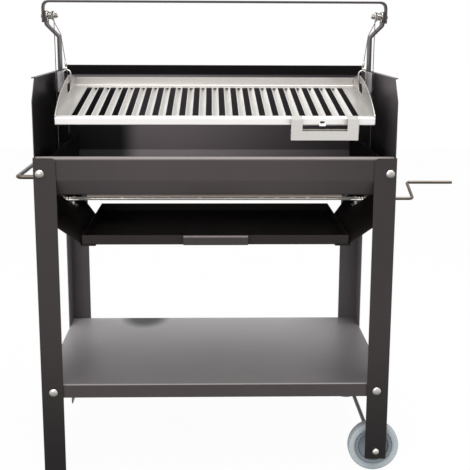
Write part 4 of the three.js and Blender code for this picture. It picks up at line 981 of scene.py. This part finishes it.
# %% Carriage bolts
bolt_places = {"panel": (385.5, 714.0), "shelf": (372.5, 207.0)}
bolt_head = [(0, 4), (0, 9.4), (0.5, 9.8), (1.5, 9.7), (2.6, 8.6), (3.5, 6.6), (4.1, 4), (4.4, 0)]
bolt_shank = [(0, 4), (-14, 4), (-14.8, 3.2), (-15, 0)]
for label, (x, z) in bolt_places.items():
    for end, depth, way in front_and_rear(-SEAT_GAP):
        for hand, turn in HANDS:
            centre = at(turn * x, depth, z)
            outwards = (0, -way, 0)
            node = f"{end}_{hand}_{label}_bolt"
            finished(f"{node}_smooth", [
                spun(bolt_head, outwards, centre, 48), spun(bolt_shank, outwards, centre, 24),
                prism(HEXAGON, 7.4, -12.1, -5.9, outwards, centre),
            ], "frame", bolt_steel, [node])
print("carriage bolts: 8")

# %% [markdown]
# ## Bent rods and cables
# The crank, the side handle and the cables are round stock that follows a line. A tube is swept
# along the line: the corners are first rounded off with short arcs, then a ring of points is
# placed square to the line at each step.


# %% A bender
def bent(corners, radius, steps=10):
    """Rounds the corners of a line of points; all in millimetres."""
    points = [Vector(corner) for corner in corners]
    line = [points[0]]
    for before, corner, after in zip(points, points[1:], points[2:]):
        into, out = (corner - before).normalized(), (after - corner).normalized()
        turn = into.angle(out)
        reach = radius * math.tan(turn / 2)
        centre = corner + (out - into).normalized() * (radius / math.cos(turn / 2))
        first, last = corner - into * reach - centre, corner + out * reach - centre
        for i in range(steps + 1):
            share = i / steps
            line.append(centre + first * (math.sin((1 - share) * turn) / math.sin(turn))
                        + last * (math.sin(share * turn) / math.sin(turn)))
    line.append(points[-1])
    return line


# %% A tube along a line
END_SHARE = 0.8
LAYS_ROUND, LAY_LENGTH = 2, 3.2


def swept(line, radius, sides=20, closed=False, end=0.0):
    """A tube round a line of points in millimetres; end is how far its two ends are rounded off."""
    count = len(line)
    ways = []
    for i, point in enumerate(line):
        before = line[i - 1] if closed or i else point
        after = line[(i + 1) % count] if closed or i < count - 1 else point
        ways.append(((point - before).normalized() + (after - point).normalized()).normalized())
    side = ways[0].orthogonal().normalized()
    stations, travelled = [], 0.0
    for i, (point, way) in enumerate(zip(line, ways)):
        side = (side - way * side.dot(way)).normalized()
        if i:
            travelled += (point - line[i - 1]).length
        stations.append((point, way, side.copy(), travelled))
    stations = [(*station, 1.0) for station in stations]
    if end and not closed:
        point, way, across, far, _ = stations[0]
        stations[:1] = [
            (point, way, across, far, END_SHARE), (point + way * end, way, across, far + end, 1.0)]
        point, way, across, far, _ = stations[-1]
        stations[-1:] = [
            (point - way * end, way, across, far - end, 1.0), (point, way, across, far, END_SHARE)]
    shape = bmesh.new()
    rings = []
    for point, way, across, _, share in stations:
        up = way.cross(across)
        rings.append([
            shape.verts.new(at(*(point + part_turn(across, up, k, sides) * radius * share)))
            for k in range(sides)])
    lay = shape.loops.layers.uv.new("lay")
    pairs = list(zip(range(len(rings)), range(1, len(rings))))
    if closed:
        pairs.append((len(rings) - 1, 0))
    for i, j in pairs:
        for k in range(sides):
            m = (k + 1) % sides
            face = shape.faces.new((rings[i][k], rings[i][m], rings[j][m], rings[j][k]))
            far = stations[j][3] if j else travelled
            for loop, (a, s) in zip(face.loops, (
                    (k, stations[i][3]), (k + 1, stations[i][3]), (k + 1, far), (k, far))):
                loop[lay].uv = (a / sides * LAYS_ROUND, s / (radius * LAY_LENGTH))
    if not closed:
        shape.faces.new(rings[0])
        shape.faces.new(rings[-1])
    return shape


# %% [markdown]
# ### The crank shaft
# One 8 mm rod crosses the grill and is bent twice at its right end into the crank. A collar on
# each side keeps it from sliding. In the photograph the stretch under the panel is a light line
# and the crank is dark, so the rod is made in two pieces that meet inside the right collar. The
# stretch takes a lit copy of the plate with a faint glow, which is painted light, and the crank a
# shaded copy, which is painted shade.

# %% The crank shaft
SHAFT_RADIUS, BEND_RADIUS = 4, 9
COLLAR_X, SHAFT_END_X = 397, 402
SHAFT_LEFT_X, CRANK_X, CRANK_END_X = -410, 500, 619
CRANK_BACK, CRANK_UP = 85, 28
pin_y, pin_z = SHAFT_Y + CRANK_BACK, SHAFT_Z + CRANK_UP
crank_line = bent([
    (SHAFT_LEFT_X, SHAFT_Y, SHAFT_Z), (CRANK_X, SHAFT_Y, SHAFT_Z), (CRANK_X, pin_y, pin_z),
    (CRANK_END_X, pin_y, pin_z)], BEND_RADIUS, 12)
first_bend = next(i for i, point in enumerate(crank_line) if point.x > SHAFT_END_X)
shaft_end = Vector((SHAFT_END_X, SHAFT_Y, SHAFT_Z))
collar = [(0, 4), (0, 7.5), (0.5, 8), (7.5, 8), (8, 7.5), (8, 4)]
finished("crank_shaft_smooth", [
    swept([crank_line[0], shaft_end], SHAFT_RADIUS, 24, end=0.6),
    spun(collar, (1, 0, 0), at(COLLAR_X, SHAFT_Y, SHAFT_Z), 32),
], "crank", lit_shaft_steel, ["crank_shaft"])
arm_line = [shaft_end, *crank_line[first_bend:]]
finished("crank_arm_smooth", [swept(arm_line, SHAFT_RADIUS, 24, end=0.6)],
         "crank", shaded_rod_steel, ["crank_shaft"])
ring_section = [(0, 4.3), (0, 7.5), (0.5, 8), (7.5, 8), (8, 7.5), (8, 4.3), (0, 4.3)]
shaft_ring = spun(ring_section, (-1, 0, 0), at(-COLLAR_X, SHAFT_Y, SHAFT_Z), 32)
finished("shaft_ring_smooth", [shaft_ring], "crank", plated_steel, ["shaft_ring"])
print("crank:", len(crank_line), "points")

# %% [markdown]
# ### The side handle
# A thicker rod, bent to a wide U, sits on the left legs. It is what the grill is tilted
# and pulled by. Each end goes through a leg and has a nut on the inside.

# %% The side handle
HANDLE_END_X, HANDLE_GRIP_X, HANDLE_NUT_X, HANDLE_Z = -385.7, -442, -394.4, 702
HANDLE_DEPTHS = (40, 490)
HANDLE_RADIUS, HANDLE_BEND = 5, 12
front_end, rear_end = HANDLE_DEPTHS
handle_line = bent([
    (HANDLE_END_X, front_end, HANDLE_Z), (HANDLE_GRIP_X, front_end, HANDLE_Z),
    (HANDLE_GRIP_X, rear_end, HANDLE_Z), (HANDLE_END_X, rear_end, HANDLE_Z)], HANDLE_BEND, 12)
handle_nuts = [
    prism(HEXAGON, 9.6, 0, 8, (1, 0, 0), at(HANDLE_NUT_X, depth, HANDLE_Z))
    for depth in HANDLE_DEPTHS]
finished("side_handle_smooth", [swept(handle_line, HANDLE_RADIUS, 28, end=0.8), *handle_nuts],
         "frame", shaded_rod_steel, ["side_handle"])
print("handle:", len(handle_line), "points")

# %% [markdown]
# ### The winding on the shaft
# Each cable comes down behind the shaft, goes round it a little more than three times and ends
# under the nut of a small clamp screw. The turns are one unbroken spiral.

# %% The winding
ROPE_RADIUS, ROPE_SIDES = 1, 12
WIRE_CREASE = 60
WINCH_RADIUS = 5.3
TURNS = 3.25
FIRST_TURN_X, LAST_TURN_X = 388, 363
TAIL_BEND, TAIL_LENGTH = 3, 2


def on_circle(x, depth, height, radius, angle):
    """A point of an upright circle about a line that runs across the grill."""
    return Vector((x, depth + radius * math.cos(angle), height + radius * math.sin(angle)))


def winding_line():
    """The spiral on the shaft, and the short bend that lays its tail along the shaft."""
    points = []
    lead = TAIL_BEND / WINCH_RADIUS
    spiral = -TURNS * 2 * math.pi + lead
    for i in range(131):
        share = i / 130
        x = FIRST_TURN_X - (FIRST_TURN_X - LAST_TURN_X) * share
        points.append(on_circle(x, SHAFT_Y, SHAFT_Z, WINCH_RADIUS, spiral * share))
    for i in range(1, 7):
        bend = i / 6 * math.pi / 2
        x = LAST_TURN_X - TAIL_BEND * (1 - math.cos(bend))
        points.append(on_circle(x, SHAFT_Y, SHAFT_Z, WINCH_RADIUS, spiral - lead * math.sin(bend)))
    points.append(points[-1] - Vector((TAIL_LENGTH, 0, 0)))
    return points


print("winding:", TURNS, "turns,", len(winding_line()), "points")

# %% [markdown]
# ### The riser and the drop
# From the winding the cable goes straight up and half round the pulley. Its last run comes down
# from the pulley, bends over the arm and ends in an eyelet, which hangs the grate by a ring. As
# the grate rises or sinks this run has to change its length; here it rides on no body and is built
# where the grate hangs at rest.

# %% Where the grate hangs
GRATE_FRONT_Y, GRATE_FRONT_Z = 48, 834
GRATE_TILT = math.radians(8.4)
LUG_SLOT_TOP, LUG_TOP = 33, 45
RING_BELOW_SLOT, RING_ABOVE_LUG = 6, 13
RING_WIRE, EYELET_WIRE, EYELET_RADIUS, SLEEVE_LENGTH = 2, 1.2, 5.6, 13


def lug_height(height):
    """How high a point of the lug is above the ground, where the cable's plane crosses it."""
    along_grate = (DROP_Y - GRATE_FRONT_Y) / math.cos(GRATE_TILT) + height * math.tan(GRATE_TILT)
    return GRATE_FRONT_Z + along_grate * math.sin(GRATE_TILT) + height * math.cos(GRATE_TILT)


ring_low = lug_height(LUG_SLOT_TOP) - RING_BELOW_SLOT
ring_high = lug_height(LUG_TOP) + RING_ABOVE_LUG
eye_z = ring_high - RING_WIRE - SEAT_GAP - EYELET_WIRE + EYELET_RADIUS
eye = Vector((RING_X, DROP_Y, eye_z))
print("ring from", round(ring_low, 1), "to", round(ring_high, 1))

# %% The cables
ROPE_ON_PULLEY = 10.3
RISER_FOOT_Z = 613.2
DROP_BEND_X, DROP_BEND_Z, DROP_LEAD = 371.5, 1012, 8
MIRROR = {"right": Vector((1, 1, 1)), "left": Vector((-1, 1, 1))}
riser_line = [Vector((FIRST_TURN_X, SHAFT_Y + WINCH_RADIUS, RISER_FOOT_Z))] + [
    on_circle(PULLEY_X, PULLEY_Y, PULLEY_Z, ROPE_ON_PULLEY, math.pi * i / 24) for i in range(25)]
drop_top = Vector((PULLEY_X, PULLEY_Y - ROPE_ON_PULLEY, PULLEY_Z - SEAT_GAP))
drop_lead = drop_top - Vector((0, 0, DROP_LEAD))
drop_bend = Vector((DROP_BEND_X, DROP_Y, DROP_BEND_Z))
drop_way = (drop_bend - eye).normalized()
sleeve_low = eye + drop_way * EYELET_RADIUS
sleeve_high = eye + drop_way * (EYELET_RADIUS + SLEEVE_LENGTH)
drop_line = bent([sleeve_high + drop_way * SEAT_GAP, drop_bend, drop_lead, drop_top], 9, 6)


def rope(hand, run, line, body):
    """One run of the cable at one side of the grill."""
    tube = swept([point * MIRROR[hand] for point in line], ROPE_RADIUS, ROPE_SIDES)
    return finished(f"{hand}_{run}_rope", [tube], body, wire_rope,
                    [f"{hand}_cable_{run}"], WIRE_CREASE)


for hand, turn in MIRROR.items():
    rope(hand, "winding", winding_line(), "crank")
    rope(hand, "riser", riser_line, "frame")
    drop = rope(hand, "drop", drop_line, None)
    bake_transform(drop)
print("cables: winding, riser and drop on each side")

# %% [markdown]
# ### Pulleys and clamp screws
# Each pulley runs between two nuts on a long bolt, with a wide washer against the arm. A small
# screw through the shaft, with its nut, clamps the cable's end. These are lathe work too, and a
# nut is a bar with six flats.

# %% Pulleys, their bolts and the clamp screws
SCREW_X = 355
UPRIGHT = (0, 0, 1)
pulley_bolt = [(-11.6, 0), (-11.6, 3.4), (-11, 4), (26.6, 4), (26.6, 0)]
pulley_bolt_head = [(26.3, 4), (26.3, 7.4), (27, 7.4), (28.9, 4.4), (28.9, 0)]
washer = [(13.7, 4.2), (13.7, 12.7), (14, 13), (15.1, 13), (15.4, 12.7), (15.4, 4.2)]
screw = [(-14, 0), (-14, 1.6), (-13.6, 2), (4.4, 2)]
screw_head = [(4.3, 2), (4.3, 4.2), (6, 4.2), (7.3, 3.2), (7.7, 0)]
pulley_section = [
    (-3, 4.7), (-3, 10.9), (-2.7, 11.3), (-2.2, 11.4), (-1.6, 10.6), (-0.9, 9.2), (0, 8.9), (0.9, 9.2),
    (1.6, 10.6), (2.2, 11.4), (2.7, 11.3), (3, 10.9), (3, 4.7), (-3, 4.7)]
for hand, turn in HANDS:
    outwards = (turn, 0, 0)
    centre = at(turn * PULLEY_X, PULLEY_Y, PULLEY_Z)
    finished(f"{hand}_pulley_smooth", [spun(pulley_section, outwards, centre, 64)],
             f"{hand}_pulley", plated_steel, [f"{hand}_pulley"])
    finished(f"{hand}_pulley_bolt_smooth", [
        spun(pulley_bolt, outwards, centre, 24), spun(pulley_bolt_head, outwards, centre, 32),
        spun(washer, outwards, centre, 48), prism(HEXAGON, 8.8, 3.8, 12.2, outwards, centre),
        prism(HEXAGON, 6.2, -9.2, -3.8, outwards, centre),
    ], "frame", bolt_steel, [f"{hand}_pulley_bolt"])
    shaft_point = at(turn * SCREW_X, SHAFT_Y, SHAFT_Z)
    finished(f"{hand}_cable_screw_smooth", [
        spun(screw, UPRIGHT, shaft_point, 16), spun(screw_head, UPRIGHT, shaft_point, 24),
        prism(HEXAGON, 4.4, -9.8, -6.6, UPRIGHT, shaft_point, 0.4),
    ], "crank", plated_steel, [f"{hand}_cable_screw"])
print("pulleys, their bolts and the clamp screws: 2 of each")

# %% [markdown]
# ### Rings and eyelets
# An oval ring of round wire goes through the slot of each lug, and the cable's crimped eyelet
# hangs in its top. Both are wire that follows a closed line, so the same tube makes them.


# %% Rings and eyelets
RING_HALF_WIDTH, SLEEVE_RADIUS = 9, 2.6


def oval(x, low, high, half, steps=16):
    """An upright oval in the cable's plane; half is half its width."""
    points = []
    for start, z in ((0, high - half), (math.pi, low + half)):
        for i in range(steps + 1):
            angle = start + math.pi * i / steps
            points.append(Vector((x + half * math.cos(angle), DROP_Y, z + half * math.sin(angle))))
    return points


eye_line = [
    on_circle(RING_X, DROP_Y, eye_z, EYELET_RADIUS, math.pi * i / 16) for i in range(32)]
for hand, turn in MIRROR.items():
    ring = [point * turn for point in oval(RING_X, ring_low, ring_high, RING_HALF_WIDTH)]
    finished(f"{hand}_ring_smooth", [swept(ring, RING_WIRE, 16, closed=True)], "grate",
             bolt_steel, [f"{hand}_hanging_ring"], WIRE_CREASE)
    loop = [point * turn for point in eye_line]
    sleeve = [sleeve_low * turn, sleeve_high * turn]
    finished(f"{hand}_eyelet_smooth", [
        swept(loop, EYELET_WIRE, 12, closed=True), swept(sleeve, SLEEVE_RADIUS, 20, end=0.6),
    ], "grate", bolt_steel, [f"{hand}_cable_eyelet"], WIRE_CREASE)
print("rings and eyelets: 2 of each")
